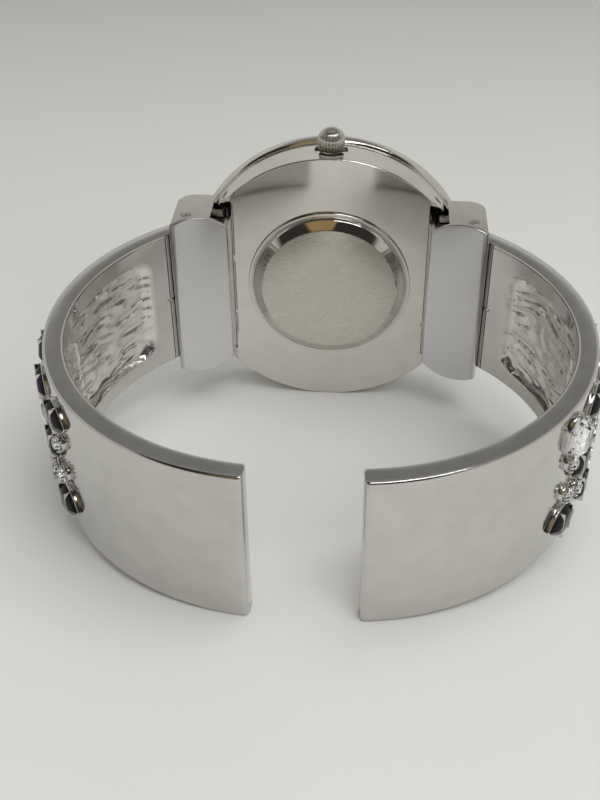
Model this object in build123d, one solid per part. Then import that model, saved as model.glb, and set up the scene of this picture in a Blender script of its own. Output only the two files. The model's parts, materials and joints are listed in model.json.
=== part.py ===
from build123d import *
from math import acos, atan2, cos, degrees, hypot, pi, radians, sin, sqrt
import os

# A hinged cuff watch: a round quartz watch head between two rigid, sprung cuff arms.
# Sizes are in millimetres. The head is drawn in its dial frame: +X to three o'clock, +Y to twelve
# o'clock, +Z out of the dial, with zero height on the flat base of the case. The cuff is drawn in its
# plan frame: +X to twelve o'clock, +Y out of the dial, +Z to three o'clock along the hinge pins.

# Case and bezel
BEZEL_RADIUS = 19.0
BEZEL_LIP_WIDTH = 0.5
CASE_EDGE = 0.15
CASE_JOINT = 4.3
GROOVE_WIDTH = 0.25
GROOVE_DEPTH = 0.4
CASE_RIM_STEP_WIDTH = 1.0
CASE_RIM_WALL = 1.13
BEZEL_WIDEST = 6.3
BEZEL_TOP = 7.4
BEZEL_BEVEL_HEIGHT = 0.9
BEZEL_FLANK_RADIUS = 6.5
BEZEL_ROUND = 1.5
FIT = 0.02

# Flanks and side notches of the case, where the hinge blocks nest
SIDE_NOTCH_WIDTH = 5.5
FLANK_RISE_SHARE = 0.62
NOTCH_DEPTH = 3.45

# Glass, dial and hands
GLASS_MARGIN = 1.6
GLASS_THICKNESS = 1.0
GLASS_BEVEL = 0.3
GLASS_GASKET_WALL = 0.45
GLASS_SHELF = 6.35
GLASS_SHELF_THICKNESS = 0.5
GLASS_SHELF_WIDTH = 0.6
DIAL_SEAT = 4.4
DIAL_THICKNESS = 0.4
DIAL_HOLE_RADIUS = 1.0
DIAL_FOOT_RADIUS = 0.35
DIAL_FOOT_LENGTH = 1.0
DIAL_FOOT_DISTANCE = 7.6
DIAL_FOOT_ANGLE = 120.0
CHAPTER_WIDTH = 0.6
MARKER_MARGIN = 2.1
MARKER_LENGTH = 2.2
MARKER_WIDTH = 0.7
MARKER_THICKNESS = 0.25
MARKER_COUNT = 12
HAND_THICKNESS = 0.14
HAND_GAP = 0.26
HOUR_HAND_MARGIN = 6.5
MINUTE_HAND_MARGIN = 2.5
SECOND_HAND_MARGIN = 1.5
SECOND_TAIL_LENGTH = 4.0
HAND_WIDTH = 1.1
HOUR_HAND_WIDTH = 1.5
SECOND_HAND_WIDTH = 0.3
HAND_SHOULDER_SHARE = 0.75
HOUR_HAND_ANGLE = 60.0
MINUTE_HAND_ANGLE = 300.0
SECOND_HAND_ANGLE = 180.0

# Case back
BACK_OPENING_RADIUS = 9.6
BACK_FLANGE_WIDTH = 1.4
BACK_FLANGE_THICKNESS = 0.35
BACK_STEP_WIDTH = 0.5
BACK_BEVEL_WIDTH = 1.3
BACK_HEIGHT = 1.45
BACK_SKIN = 0.85
BACK_SNAP_LENGTH = 1.0
BACK_SNAP_WALL = 0.6
BACK_GASKET_WIDTH = 0.5
BACK_GASKET_DEPTH = 0.5
BACK_NOTCH_WIDTH = 1.8
BACK_NOTCH_DEPTH = 0.35

# Crown and stem
STEM_HEIGHT = 3.0
STEM_RADIUS = 0.4
STEM_SQUARE = 0.56
STEM_GROOVE_RADIUS = 0.25
STEM_GROOVE_WIDTH = 0.5
STEM_START = 2.7
CROWN_RADIUS = 1.78
CROWN_GAP = 0.3
CROWN_SKIRT = 1.25
CROWN_DOME = 1.4
CROWN_BORE_DEPTH = 1.05
CROWN_STEM_GRIP = 0.6
CROWN_GASKET_WIDTH = 0.38
CROWN_FLUTES = 22
CROWN_FLUTE_DEPTH = 0.1
CROWN_TRAVEL = 1.0
CROWN_TUBE_RADIUS = 0.75
CROWN_TUBE_WALL = 0.3
CROWN_TUBE_SEAT_DEPTH = 2.3
CROWN_RECESS_RADIUS = 2.15
CROWN_RECESS_DEPTH = 0.45
RUNNING_FIT = 0.05

# Movement
HOLDER_GAP = 0.08
PLATE_BOTTOM = 2.5
PLATE_TOP = 4.35
HOLDER_WALL = 0.62
MOTION_RECESS_RADIUS = 4.9
MOTION_RECESS_DEPTH = 0.95
BRIDGE_BOTTOM = 0.85
BRIDGE_TOP = 1.15
BRIDGE_RADIUS = 4.6
PIVOT_RADIUS = 0.14
TRAIN_FIT = 0.05
WHEEL_THICKNESS = 0.15
PINION_THICKNESS = 0.26
TOOTH_ADDENDUM_SHARE = 0.7
TOOTH_DEDENDUM_SHARE = 1.15
TOOTH_HALF_ROOT_SHARE = 0.25
TOOTH_HALF_TIP_SHARE = 0.13
STEP_MODULE = 0.07
SECONDS_MODULE = 0.11
THIRD_MODULE = 0.08
MOTION_MODULE = 0.11
PINION_TEETH = 8
STEP_TEETH = 48
SECONDS_TEETH = 40
THIRD_TEETH = 60
CENTRE_TEETH = 64
CANNON_TEETH = 12
MINUTE_TEETH = 36
MINUTE_PINION_TEETH = 10
HOUR_TEETH = 40
THIRD_ANGLE = -60.0
STEP_ANGLE = 150.0
ROTOR_ANGLE = 205.0
MINUTE_ANGLE = 110.0
ROTOR_MAGNET_RADIUS = 0.75
CANNON_RADIUS = 0.4
CANNON_WALL = 0.18
HOUR_TUBE_RADIUS = 0.75
HOUR_TUBE_WALL = 0.28
BATTERY_RADIUS = 2.9
BATTERY_THICKNESS = 2.1
BATTERY_MARGIN = 0.15
BATTERY_ANGLE = 62.0
CLAMP_WIDTH = 1.6
COIL_RADIUS = 0.85
COIL_LENGTH = 6.4
COIL_MARGIN = 2.5
CORE_HALF_WIDTH = 0.3
CORE_OVERHANG = 0.9
STATOR_THICKNESS = 0.3
STATOR_SHOE = 1.1
BOARD_THICKNESS = 0.3
BOARD_WIDTH = 6.0
BOARD_DEPTH = 2.4
BOARD_MARGIN = 2.6
BOARD_SHIFT = 0.6
QUARTZ_RADIUS = 0.45
QUARTZ_LENGTH = 4.6
SCREW_RADIUS = 0.2
SCREW_HEAD_RADIUS = 0.38
SCREW_HEAD_HEIGHT = 0.3
SCREW_DEPTH = 0.5
SCREW_MARGIN = 0.435
SCREW_ANGLES = (-14.6, 120.0, 250.0)
CLUTCH_RADIUS = 0.75
CLUTCH_START = 3.1
CLUTCH_LENGTH = 1.7
CLUTCH_GROOVE_RADIUS = 0.54
LEVER_DISTANCE = 5.6
LEVER_ARM = 2.4
LEVER_WIDTH = 0.9
LEVER_THICKNESS = 0.17
LEVER_POST_RADIUS = 0.19
LEVER_STUD_RADIUS = 0.25
LEVER_STUD_DEPTH = 0.5
YOKE_ARM = 2.0
YOKE_WIDTH = 0.4

# Cuff arms
ARM_RADIUS = 27.9
ARM_WALL = 2.4
ARM_HEIGHT = 19.5
ARM_CENTRE_DISTANCE = 3.6
ARM_EDGE = 0.28
ARM_END_ROUND = 0.5
MOUTH_WIDTH = 11.8
HINGE_DISTANCE = 5.7
HINGE_DEPTH = 1.73
OPENING_ANGLE = 25.0
POCKET_DISTANCE = 6.55
POCKET_LENGTH = 34.72
POCKET_RIM_WIDTH = 2.35
POCKET_DEPTH = 0.95
POCKET_CORNER = 2.6
SEAM_DISTANCE = 3.99
SEAM_WIDTH = 0.12

# Hinge blocks, covers, pins and springs
CHEEK_WALL = 1.13
BLOCK_CASE_WIDTH = 3.2
BLOCK_OUTER_WIDTH = 1.65
BLOCK_BACK = 4.1
BLOCK_CORNER = 2.3
BEZEL_CLEARANCE = 0.12
CHEEK_GAP = 0.12
HINGE_PIN_RADIUS = 0.65
HINGE_FIT = 0.04
KNUCKLE_CLEARANCE = 0.2
COVER_LENGTH = 7.6
COVER_THICKNESS = 0.4
COVER_ANGLE = 17.5
COVER_SETBACK_DISTANCE = 2.05
COVER_DROP = 2.62
COVER_CASE_INSET = 0.8
COVER_CROWN_OVERHANG = 1.0
COVER_ARM_OVERHANG = 0.3
COVER_ROUND = 0.15
COVER_FLANGE_WALL = 0.45
COVER_FLANGE_GAP = 0.12
TONGUE_INSET = 3.0
TONGUE_FRONT = 1.2
TONGUE_BACK = 3.2
TONGUE_GAP = 0.3
CASE_PIN_RADIUS = 0.45
CASE_PIN_DISTANCE = 1.0
CASE_PIN_HEIGHT = 2.2
CASE_PIN_OVERHANG = 0.45
SPRING_THICKNESS = 0.25
SPRING_HALF_HEIGHT = 4.5
SPRING_POCKET_BACK = 2.4
SPRING_CLEARANCE = 0.18
SPRING_WALL = 0.6

# Ornament on the outside of the arms
ORNAMENT_DISTANCE = 11.445
COLUMN_STEP = 6.72
ROW_STEP = 6.0
BACKING_THICKNESS = 0.3
RELIEF = 1.15
CELL_BORDER = 0.32
CELL_FLOOR = 0.5
ENAMEL_SUNK = 0.12
LEAF_LENGTH = 6.0
LEAF_WIDTH = 4.0
LEAF_ROWS = 3
LEAF_COLUMNS = 5
STONE_RADIUS = 0.9
STONE_HEIGHT = 0.8
STONE_TABLE_SHARE = 0.55
STONE_SIDES = 8
STONE_SETBACK_SHARE = 0.37
COLLET_WALL = 0.2
COLLET_HEIGHT = 0.7
OVAL_LENGTH = 5.2
OVAL_WIDTH = 3.6
OVAL_SIDES = 12
OVAL_HEIGHT = 1.5
# Half outline of a pointed leaf cell: shares of its half length and half width
LEAF_OUTLINE_SHARES = ((1.0, 0.0), (0.55, 0.7), (0.0, 1.0), (-0.55, 0.7), (-1.0, 0.0))

# Overrun of cutting tools past the faces that they cut
OVERRUN = 1.0

parts = {}


# Helpers

def disc(radius, bottom, top, x=0, y=0):
    """Upright cylinder between two heights."""
    blank = Cylinder(radius, top - bottom, align=(Align.CENTER, Align.CENTER, Align.MIN))
    return Pos(x, y, bottom) * blank


def ring(outer, inner, bottom, top, x=0, y=0):
    """Upright tube between two heights."""
    return disc(outer, bottom, top, x, y) - disc(inner, bottom - OVERRUN, top + OVERRUN, x, y)


def prism(points, bottom, top):
    """Upright prism over a closed outline."""
    return Pos(0, 0, bottom) * extrude(make_face(Polyline(*points, close=True)), top - bottom)


def turned(points):
    """Solid of revolution about Z from a closed outline of radius and height."""
    return revolve(Plane.XZ * make_face(Polyline(*points, close=True)), Axis.Z)


def bar(start, end, width, bottom, top):
    """Flat bar with round ends between two points."""
    run = hypot(end[0] - start[0], end[1] - start[1])
    turn = degrees(atan2(end[1] - start[1], end[0] - start[0]))
    middle = ((start[0] + end[0]) / 2, (start[1] + end[1]) / 2)
    outline = Pos(*middle) * Rot(0, 0, turn) * SlotCenterToCenter(run, width)
    return Pos(0, 0, bottom) * extrude(outline, top - bottom)


def polar(radius, angle, origin=(0, 0)):
    """Point at a radius and an angle in degrees about an origin."""
    return (origin[0] + radius * cos(radians(angle)), origin[1] + radius * sin(radians(angle)))


def toothed(teeth, module, bottom, top, at=(0, 0), facing=0.0, gap=False):
    """Toothed wheel whose tooth, or whose gap, points to the partner at the angle facing."""
    pitch = teeth * module / 2
    root = pitch - TOOTH_DEDENDUM_SHARE * module
    tip = pitch + TOOTH_ADDENDUM_SHARE * module
    step = 360 / teeth
    first = facing + (step / 2 if gap else 0)
    points = []
    for tooth in range(teeth):
        middle = first + tooth * step
        half_root = TOOTH_HALF_ROOT_SHARE * step
        half_tip = TOOTH_HALF_TIP_SHARE * step
        points.append(polar(root, middle - half_root, at))
        points.append(polar(tip, middle - half_tip, at))
        points.append(polar(tip, middle + half_tip, at))
        points.append(polar(root, middle + half_root, at))
    return prism(points, bottom, top)


# Radii of the head that follow from the bezel and from the opening in the back
case_radius = BEZEL_RADIUS - BEZEL_LIP_WIDTH
rim_radius = case_radius - CASE_RIM_STEP_WIDTH
dial_radius = rim_radius - CASE_RIM_WALL - FIT
glass_radius = rim_radius - GLASS_MARGIN
window_radius = glass_radius - GLASS_SHELF_WIDTH
chapter_radius = window_radius - CHAPTER_WIDTH
base_half_width = case_radius - SIDE_NOTCH_WIDTH
back_flange_radius = BACK_OPENING_RADIUS + BACK_FLANGE_WIDTH
back_step_radius = back_flange_radius - BACK_STEP_WIDTH
back_face_radius = back_step_radius - BACK_BEVEL_WIDTH
plate_radius = BACK_OPENING_RADIUS - HOLDER_GAP - HOLDER_WALL
crown_start = case_radius + CROWN_GAP
crown_tube_start = case_radius - CROWN_TUBE_SEAT_DEPTH
battery_distance = plate_radius - BATTERY_RADIUS - BATTERY_MARGIN
coil_distance = plate_radius - COIL_MARGIN
screw_distance = BRIDGE_RADIUS - SCREW_MARGIN
board_place = (-BOARD_SHIFT, BOARD_MARGIN - plate_radius)

# Heights that several pieces share
dial_top = DIAL_SEAT + DIAL_THICKNESS
rim_top = GLASS_SHELF - GLASS_SHELF_THICKNESS - FIT
block_half_height = ARM_HEIGHT / 2 + CHEEK_GAP + CHEEK_WALL
case_pin_half_length = block_half_height + CASE_PIN_OVERHANG
notch_half_height = block_half_height + FIT
back_inside = BACK_SKIN - BACK_HEIGHT


def build_case():
    """Case middle: turned body, flanks, notches for the hinge blocks, bores and stem hole."""
    body = turned([
        (BACK_OPENING_RADIUS, 0),
        (case_radius - CASE_EDGE, 0),
        (case_radius, CASE_EDGE),
        (case_radius, CASE_JOINT - GROOVE_WIDTH),
        (case_radius - GROOVE_DEPTH, CASE_JOINT - GROOVE_WIDTH),
        (case_radius - GROOVE_DEPTH, CASE_JOINT),
        (rim_radius, CASE_JOINT),
        (rim_radius, rim_top),
        (dial_radius + FIT, rim_top),
        (dial_radius + FIT, DIAL_SEAT),
        (BACK_OPENING_RADIUS, DIAL_SEAT),
    ])
    reach = BEZEL_RADIUS + OVERRUN
    flank = [
        (base_half_width, 0),
        (base_half_width, -OVERRUN),
        (reach, -OVERRUN),
        (reach, FLANK_RISE_SHARE * (reach - base_half_width)),
    ]
    notch = [
        (base_half_width, -OVERRUN),
        (reach, -OVERRUN),
        (reach, NOTCH_DEPTH),
        (base_half_width, NOTCH_DEPTH),
    ]
    for side in (1, -1):
        flank_cut = Plane.YZ * extrude(make_face(Polyline(*[(side * y, z) for y, z in flank], close=True)),
                                       reach, both=True)
        notch_cut = Plane.YZ * extrude(make_face(Polyline(*[(side * y, z) for y, z in notch], close=True)),
                                       notch_half_height, both=True)
        pin_hole = Pos(0, side * case_pin_place[0], case_pin_place[1]) * Rot(0, 90, 0) * Cylinder(
            CASE_PIN_RADIUS + FIT, 2 * (case_pin_half_length + FIT))
        body = body - flank_cut - notch_cut - pin_hole
    gasket_seat = disc(BACK_OPENING_RADIUS + BACK_GASKET_WIDTH + FIT, -OVERRUN, BACK_GASKET_DEPTH)
    stem_hole = stem_line * disc(STEM_RADIUS + RUNNING_FIT, 0, reach)
    tube_hole = stem_line * disc(CROWN_TUBE_RADIUS + FIT, crown_tube_start, reach)
    recess = stem_line * disc(CROWN_RECESS_RADIUS, case_radius - CROWN_RECESS_DEPTH, reach)
    recess = recess & disc(reach, -OVERRUN, CASE_JOINT - GROOVE_WIDTH)
    return body - gasket_seat - stem_hole - tube_hole - recess


def build_bezel():
    """Bezel: a rounded ring with a bevelled foot that grips the rim of the case and holds the glass."""
    bevel_top = CASE_JOINT + BEZEL_BEVEL_HEIGHT
    drop = BEZEL_WIDEST - bevel_top
    rise = BEZEL_TOP - BEZEL_WIDEST
    flank_centre = BEZEL_RADIUS - BEZEL_FLANK_RADIUS
    low = (flank_centre + sqrt(BEZEL_FLANK_RADIUS**2 - drop**2), bevel_top)
    high = (flank_centre + sqrt(BEZEL_FLANK_RADIUS**2 - rise**2), BEZEL_TOP)
    gasket_radius = glass_radius + GLASS_GASKET_WALL + 2 * FIT
    outline = make_face([
        ThreePointArc(low, (BEZEL_RADIUS, BEZEL_WIDEST), high),
        Polyline(high, (gasket_radius, BEZEL_TOP), (gasket_radius, GLASS_SHELF),
                 (window_radius, GLASS_SHELF), (window_radius, rim_top + FIT),
                 (rim_radius + FIT, rim_top + FIT), (rim_radius + FIT, CASE_JOINT),
                 (case_radius, CASE_JOINT), low),
    ])
    corner = outline.vertices().sort_by_distance((high[0], high[1], 0))[0]
    return revolve(Plane.XZ * fillet(corner, BEZEL_ROUND), Axis.Z)


def build_front():
    """Glass, its gasket, chapter ring, dial and hour markers."""
    glass_top = GLASS_SHELF + GLASS_THICKNESS
    parts["crystal_glass"] = turned([
        (0, GLASS_SHELF), (glass_radius, GLASS_SHELF), (glass_radius, glass_top - GLASS_BEVEL),
        (glass_radius - GLASS_BEVEL, glass_top), (0, glass_top),
    ])
    parts["crystal_gasket"] = ring(glass_radius + FIT + GLASS_GASKET_WALL, glass_radius + FIT,
                                   GLASS_SHELF, glass_top - GLASS_BEVEL)
    parts["chapter_ring"] = turned([
        (chapter_radius, dial_top), (dial_radius, dial_top), (dial_radius, rim_top),
        (window_radius, rim_top),
    ])
    dial = disc(dial_radius, DIAL_SEAT, dial_top) - disc(DIAL_HOLE_RADIUS, DIAL_SEAT - OVERRUN,
                                                         dial_top + OVERRUN)
    for side in (0, 180):
        foot = polar(DIAL_FOOT_DISTANCE, DIAL_FOOT_ANGLE + side)
        dial = dial + disc(DIAL_FOOT_RADIUS, DIAL_SEAT - DIAL_FOOT_LENGTH, DIAL_SEAT, *foot)
    parts["dial"] = dial
    marker = Pos(chapter_radius - MARKER_MARGIN, 0, dial_top) * Box(
        MARKER_LENGTH, MARKER_WIDTH, MARKER_THICKNESS, align=(Align.CENTER, Align.CENTER, Align.MIN))
    markers = [Rot(0, 0, hour * 360 / MARKER_COUNT) * marker for hour in range(MARKER_COUNT)]
    parts["hour_markers"] = Compound(children=markers)


def build_back():
    """Snap-on case back and its gasket."""
    snap_radius = BACK_OPENING_RADIUS - FIT
    back = turned([
        (0, -BACK_HEIGHT),
        (back_face_radius, -BACK_HEIGHT),
        (back_step_radius, -BACK_FLANGE_THICKNESS),
        (back_flange_radius, -BACK_FLANGE_THICKNESS),
        (back_flange_radius, 0),
        (snap_radius, 0),
        (snap_radius, BACK_SNAP_LENGTH),
        (snap_radius - BACK_SNAP_WALL, BACK_SNAP_LENGTH),
        (snap_radius - BACK_SNAP_WALL, back_inside),
        (0, back_inside),
    ])
    notch = Pos(0, back_flange_radius, 0) * Box(BACK_NOTCH_WIDTH, BACK_NOTCH_DEPTH, BACK_FLANGE_THICKNESS)
    parts["case_back"] = back - notch
    parts["case_back_gasket"] = ring(BACK_OPENING_RADIUS + BACK_GASKET_WIDTH, BACK_OPENING_RADIUS + FIT,
                                     FIT, BACK_GASKET_DEPTH)


# Places of the wheels in the dial frame
third_distance = (PINION_TEETH + THIRD_TEETH) * THIRD_MODULE / 2
centre_module = 2 * third_distance / (PINION_TEETH + CENTRE_TEETH)
step_distance = (PINION_TEETH + SECONDS_TEETH) * SECONDS_MODULE / 2
rotor_distance = (PINION_TEETH + STEP_TEETH) * STEP_MODULE / 2
minute_distance = (CANNON_TEETH + MINUTE_TEETH) * MOTION_MODULE / 2
hour_module = 2 * minute_distance / (MINUTE_PINION_TEETH + HOUR_TEETH)
third_place = polar(third_distance, THIRD_ANGLE)
step_place = polar(step_distance, STEP_ANGLE)
rotor_place = polar(rotor_distance, ROTOR_ANGLE, step_place)
minute_place = polar(minute_distance, MINUTE_ANGLE)
battery_place = polar(battery_distance, BATTERY_ANGLE)

# Levels of the train between the bridge and the main plate, and of the motion work under the dial
step_level = BRIDGE_TOP + 2 * TRAIN_FIT
seconds_level = step_level + PINION_THICKNESS + TRAIN_FIT
third_level = seconds_level + PINION_THICKNESS + TRAIN_FIT
centre_level = third_level + PINION_THICKNESS + TRAIN_FIT
motion_level = PLATE_TOP - MOTION_RECESS_DEPTH + TRAIN_FIT
hour_level = motion_level + PINION_THICKNESS + TRAIN_FIT
hour_hand_level = dial_top + HAND_GAP
minute_hand_level = hour_hand_level + HAND_THICKNESS + HAND_GAP
second_hand_level = minute_hand_level + HAND_THICKNESS + HAND_GAP
lever_top = PLATE_BOTTOM - TRAIN_FIT
lever_bottom = lever_top - LEVER_THICKNESS
battery_top = lever_bottom - TRAIN_FIT
battery_bottom = battery_top - BATTERY_THICKNESS
screw_places = [polar(screw_distance, angle) for angle in SCREW_ANGLES]
clutch_end = CLUTCH_START + CLUTCH_LENGTH
clutch_middle = CLUTCH_START + CLUTCH_LENGTH / 2
lever_pivot = (LEVER_DISTANCE + CROWN_TRAVEL / 2, -LEVER_ARM)
stem_line = Plane(origin=(0, 0, STEM_HEIGHT), x_dir=(0, 1, 0), z_dir=(1, 0, 0))


def build_plates():
    """Main plate, its holder ring, the train bridge and the bridge screws."""
    recess_floor = PLATE_TOP - MOTION_RECESS_DEPTH
    plate = disc(plate_radius, PLATE_BOTTOM, PLATE_TOP)
    cuts = [
        disc(MOTION_RECESS_RADIUS, recess_floor, PLATE_TOP + OVERRUN),
        disc(CANNON_RADIUS + TRAIN_FIT, PLATE_BOTTOM - OVERRUN, PLATE_TOP),
        stem_line * disc(STEM_RADIUS + RUNNING_FIT, STEM_START - RUNNING_FIT, plate_radius + OVERRUN),
        stem_line * disc(CLUTCH_RADIUS + RUNNING_FIT, CLUTCH_START - RUNNING_FIT, clutch_end + RUNNING_FIT),
        disc(LEVER_STUD_RADIUS + RUNNING_FIT, PLATE_BOTTOM - OVERRUN,
             lever_bottom + LEVER_STUD_DEPTH + RUNNING_FIT, *lever_pivot),
    ]
    for side in (0, 180):
        foot = polar(DIAL_FOOT_DISTANCE, DIAL_FOOT_ANGLE + side)
        foot_end = DIAL_SEAT - DIAL_FOOT_LENGTH
        cuts.append(disc(DIAL_FOOT_RADIUS + FIT, foot_end - FIT, PLATE_TOP + OVERRUN, *foot))
    slot_width = 2 * (LEVER_POST_RADIUS + 2 * RUNNING_FIT)
    cuts.append(Pos(lever_pivot[0], 0, PLATE_BOTTOM) * Box(
        CROWN_TRAVEL + slot_width, slot_width, STEM_HEIGHT - PLATE_BOTTOM,
        align=(Align.CENTER, Align.CENTER, Align.MIN)))
    for place in (third_place, step_place, rotor_place):
        cuts.append(disc(PIVOT_RADIUS + TRAIN_FIT, PLATE_BOTTOM - OVERRUN, PLATE_BOTTOM + PINION_THICKNESS,
                         *place))
    plate = plate - cuts
    plate = plate + [disc(SCREW_HEAD_RADIUS, BRIDGE_TOP, PLATE_BOTTOM, *place) for place in screw_places]
    plate = plate - [disc(SCREW_RADIUS + FIT, BRIDGE_TOP - OVERRUN, BRIDGE_TOP + SCREW_DEPTH + FIT, *place)
                     for place in screw_places]
    parts["main_plate"] = plate

    holder = ring(plate_radius + HOLDER_WALL, plate_radius + FIT, BACK_SNAP_LENGTH + FIT, PLATE_TOP)
    parts["movement_holder"] = holder - stem_line * disc(STEM_RADIUS + RUNNING_FIT, 0, back_step_radius)

    bridge = disc(BRIDGE_RADIUS, BRIDGE_BOTTOM, BRIDGE_TOP)
    holes = [disc(PIVOT_RADIUS + TRAIN_FIT, BRIDGE_BOTTOM - OVERRUN, BRIDGE_TOP + OVERRUN, *place)
             for place in ((0, 0), third_place, step_place, rotor_place)]
    holes += [disc(SCREW_RADIUS + FIT, BRIDGE_BOTTOM - OVERRUN, BRIDGE_TOP + OVERRUN, *place)
              for place in screw_places]
    battery_room = disc(BATTERY_RADIUS + TRAIN_FIT, BRIDGE_BOTTOM - OVERRUN, BRIDGE_TOP + OVERRUN,
                        *battery_place)
    parts["train_bridge"] = bridge - holes - battery_room
    parts["movement_screws"] = Compound([
        disc(SCREW_RADIUS, BRIDGE_BOTTOM, BRIDGE_TOP + SCREW_DEPTH, *place)
        + disc(SCREW_HEAD_RADIUS, BRIDGE_BOTTOM - SCREW_HEAD_HEIGHT, BRIDGE_BOTTOM, *place)
        for place in screw_places])


def build_power():
    """Battery and clamp, coil, core, stator, circuit board and quartz can."""
    parts["battery"] = disc(BATTERY_RADIUS, battery_bottom, battery_top, *battery_place)
    parts["battery_clamp"] = bar(polar(battery_distance - BATTERY_RADIUS / 2, BATTERY_ANGLE),
                                 polar(plate_radius - CLAMP_WIDTH / 2, BATTERY_ANGLE),
                                 CLAMP_WIDTH, battery_top, PLATE_BOTTOM)

    stator_bottom = PLATE_BOTTOM - STATOR_THICKNESS
    coil_level = stator_bottom - COIL_RADIUS
    coil_line = Plane(origin=(-coil_distance, 0, coil_level), x_dir=(1, 0, 0), z_dir=(0, 1, 0))
    core_end = COIL_LENGTH / 2 + CORE_OVERHANG
    parts["coil"] = coil_line * ring(COIL_RADIUS, sqrt(2) * CORE_HALF_WIDTH + FIT,
                                     -COIL_LENGTH / 2, COIL_LENGTH / 2)
    core = coil_line * Box(2 * CORE_HALF_WIDTH, 2 * CORE_HALF_WIDTH, 2 * core_end)
    ear = Box(2 * CORE_HALF_WIDTH, 2 * CORE_HALF_WIDTH, stator_bottom - coil_level + CORE_HALF_WIDTH,
              align=(Align.CENTER, Align.CENTER, Align.MIN))
    parts["coil_core"] = core + [
        Pos(-coil_distance, side * (core_end - CORE_HALF_WIDTH), coil_level - CORE_HALF_WIDTH) * ear
        for side in (1, -1)]
    stator = prism([
        (-coil_distance - CORE_HALF_WIDTH, core_end),
        (-coil_distance - CORE_HALF_WIDTH, -core_end),
        (-coil_distance + CORE_HALF_WIDTH, -core_end),
        (rotor_place[0] + STATOR_SHOE, rotor_place[1] - STATOR_SHOE),
        (rotor_place[0] + STATOR_SHOE, rotor_place[1] + STATOR_SHOE),
        (-coil_distance + CORE_HALF_WIDTH, core_end),
    ], stator_bottom, PLATE_BOTTOM)
    parts["stator"] = stator - disc(ROTOR_MAGNET_RADIUS + 2 * TRAIN_FIT, stator_bottom - OVERRUN,
                                    PLATE_BOTTOM + OVERRUN, *rotor_place)

    board_bottom = PLATE_BOTTOM - BOARD_THICKNESS
    parts["circuit_board"] = Pos(*board_place, board_bottom) * Box(
        BOARD_WIDTH, BOARD_DEPTH, BOARD_THICKNESS, align=(Align.CENTER, Align.CENTER, Align.MIN))
    quartz_line = Plane(origin=(*board_place, board_bottom - QUARTZ_RADIUS), x_dir=(0, 1, 0), z_dir=(1, 0, 0))
    parts["quartz_can"] = quartz_line * disc(QUARTZ_RADIUS, -QUARTZ_LENGTH / 2, QUARTZ_LENGTH / 2)


def build_keyless_work():
    """Stem, sliding pinion, setting lever and yoke."""
    square = Pos(0, 0, STEM_START) * Box(
        STEM_SQUARE, STEM_SQUARE, clutch_end - STEM_START + CROWN_TRAVEL / 2,
        align=(Align.CENTER, Align.CENTER, Align.MIN))
    crown_floor = crown_start + CROWN_BORE_DEPTH
    rod = disc(STEM_RADIUS, clutch_end + CROWN_TRAVEL / 4, crown_floor + CROWN_STEM_GRIP)
    groove = ring(STEM_RADIUS + OVERRUN, STEM_GROOVE_RADIUS, LEVER_DISTANCE - STEM_GROOVE_WIDTH / 2,
                  LEVER_DISTANCE + STEM_GROOVE_WIDTH / 2)
    parts["stem"] = stem_line * (square + rod - groove)

    square_hole = Pos(0, 0, CLUTCH_START - OVERRUN) * Box(
        STEM_SQUARE + RUNNING_FIT, STEM_SQUARE + RUNNING_FIT, CLUTCH_LENGTH + 2 * OVERRUN,
        align=(Align.CENTER, Align.CENTER, Align.MIN))
    yoke_groove = ring(CLUTCH_RADIUS + OVERRUN, CLUTCH_GROOVE_RADIUS, clutch_middle - STEM_GROOVE_WIDTH / 2,
                       clutch_middle + STEM_GROOVE_WIDTH / 2)
    parts["sliding_pinion"] = stem_line * (disc(CLUTCH_RADIUS, CLUTCH_START, clutch_end) - square_hole
                                           - yoke_groove)

    post_top = STEM_HEIGHT - STEM_GROOVE_RADIUS - TRAIN_FIT
    parts["setting_lever"] = (
        bar(lever_pivot, (LEVER_DISTANCE, 0), LEVER_WIDTH, lever_bottom, lever_top)
        + disc(LEVER_POST_RADIUS, lever_bottom, post_top, LEVER_DISTANCE, 0)
        + disc(LEVER_STUD_RADIUS, lever_bottom, lever_bottom + LEVER_STUD_DEPTH, *lever_pivot)
    )
    yoke_root = (clutch_middle, YOKE_ARM)
    parts["yoke"] = (bar(yoke_root, (clutch_middle, 0), YOKE_WIDTH, lever_bottom, lever_top)
                     + disc(LEVER_STUD_RADIUS, lever_bottom, PLATE_BOTTOM, *yoke_root))


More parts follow.
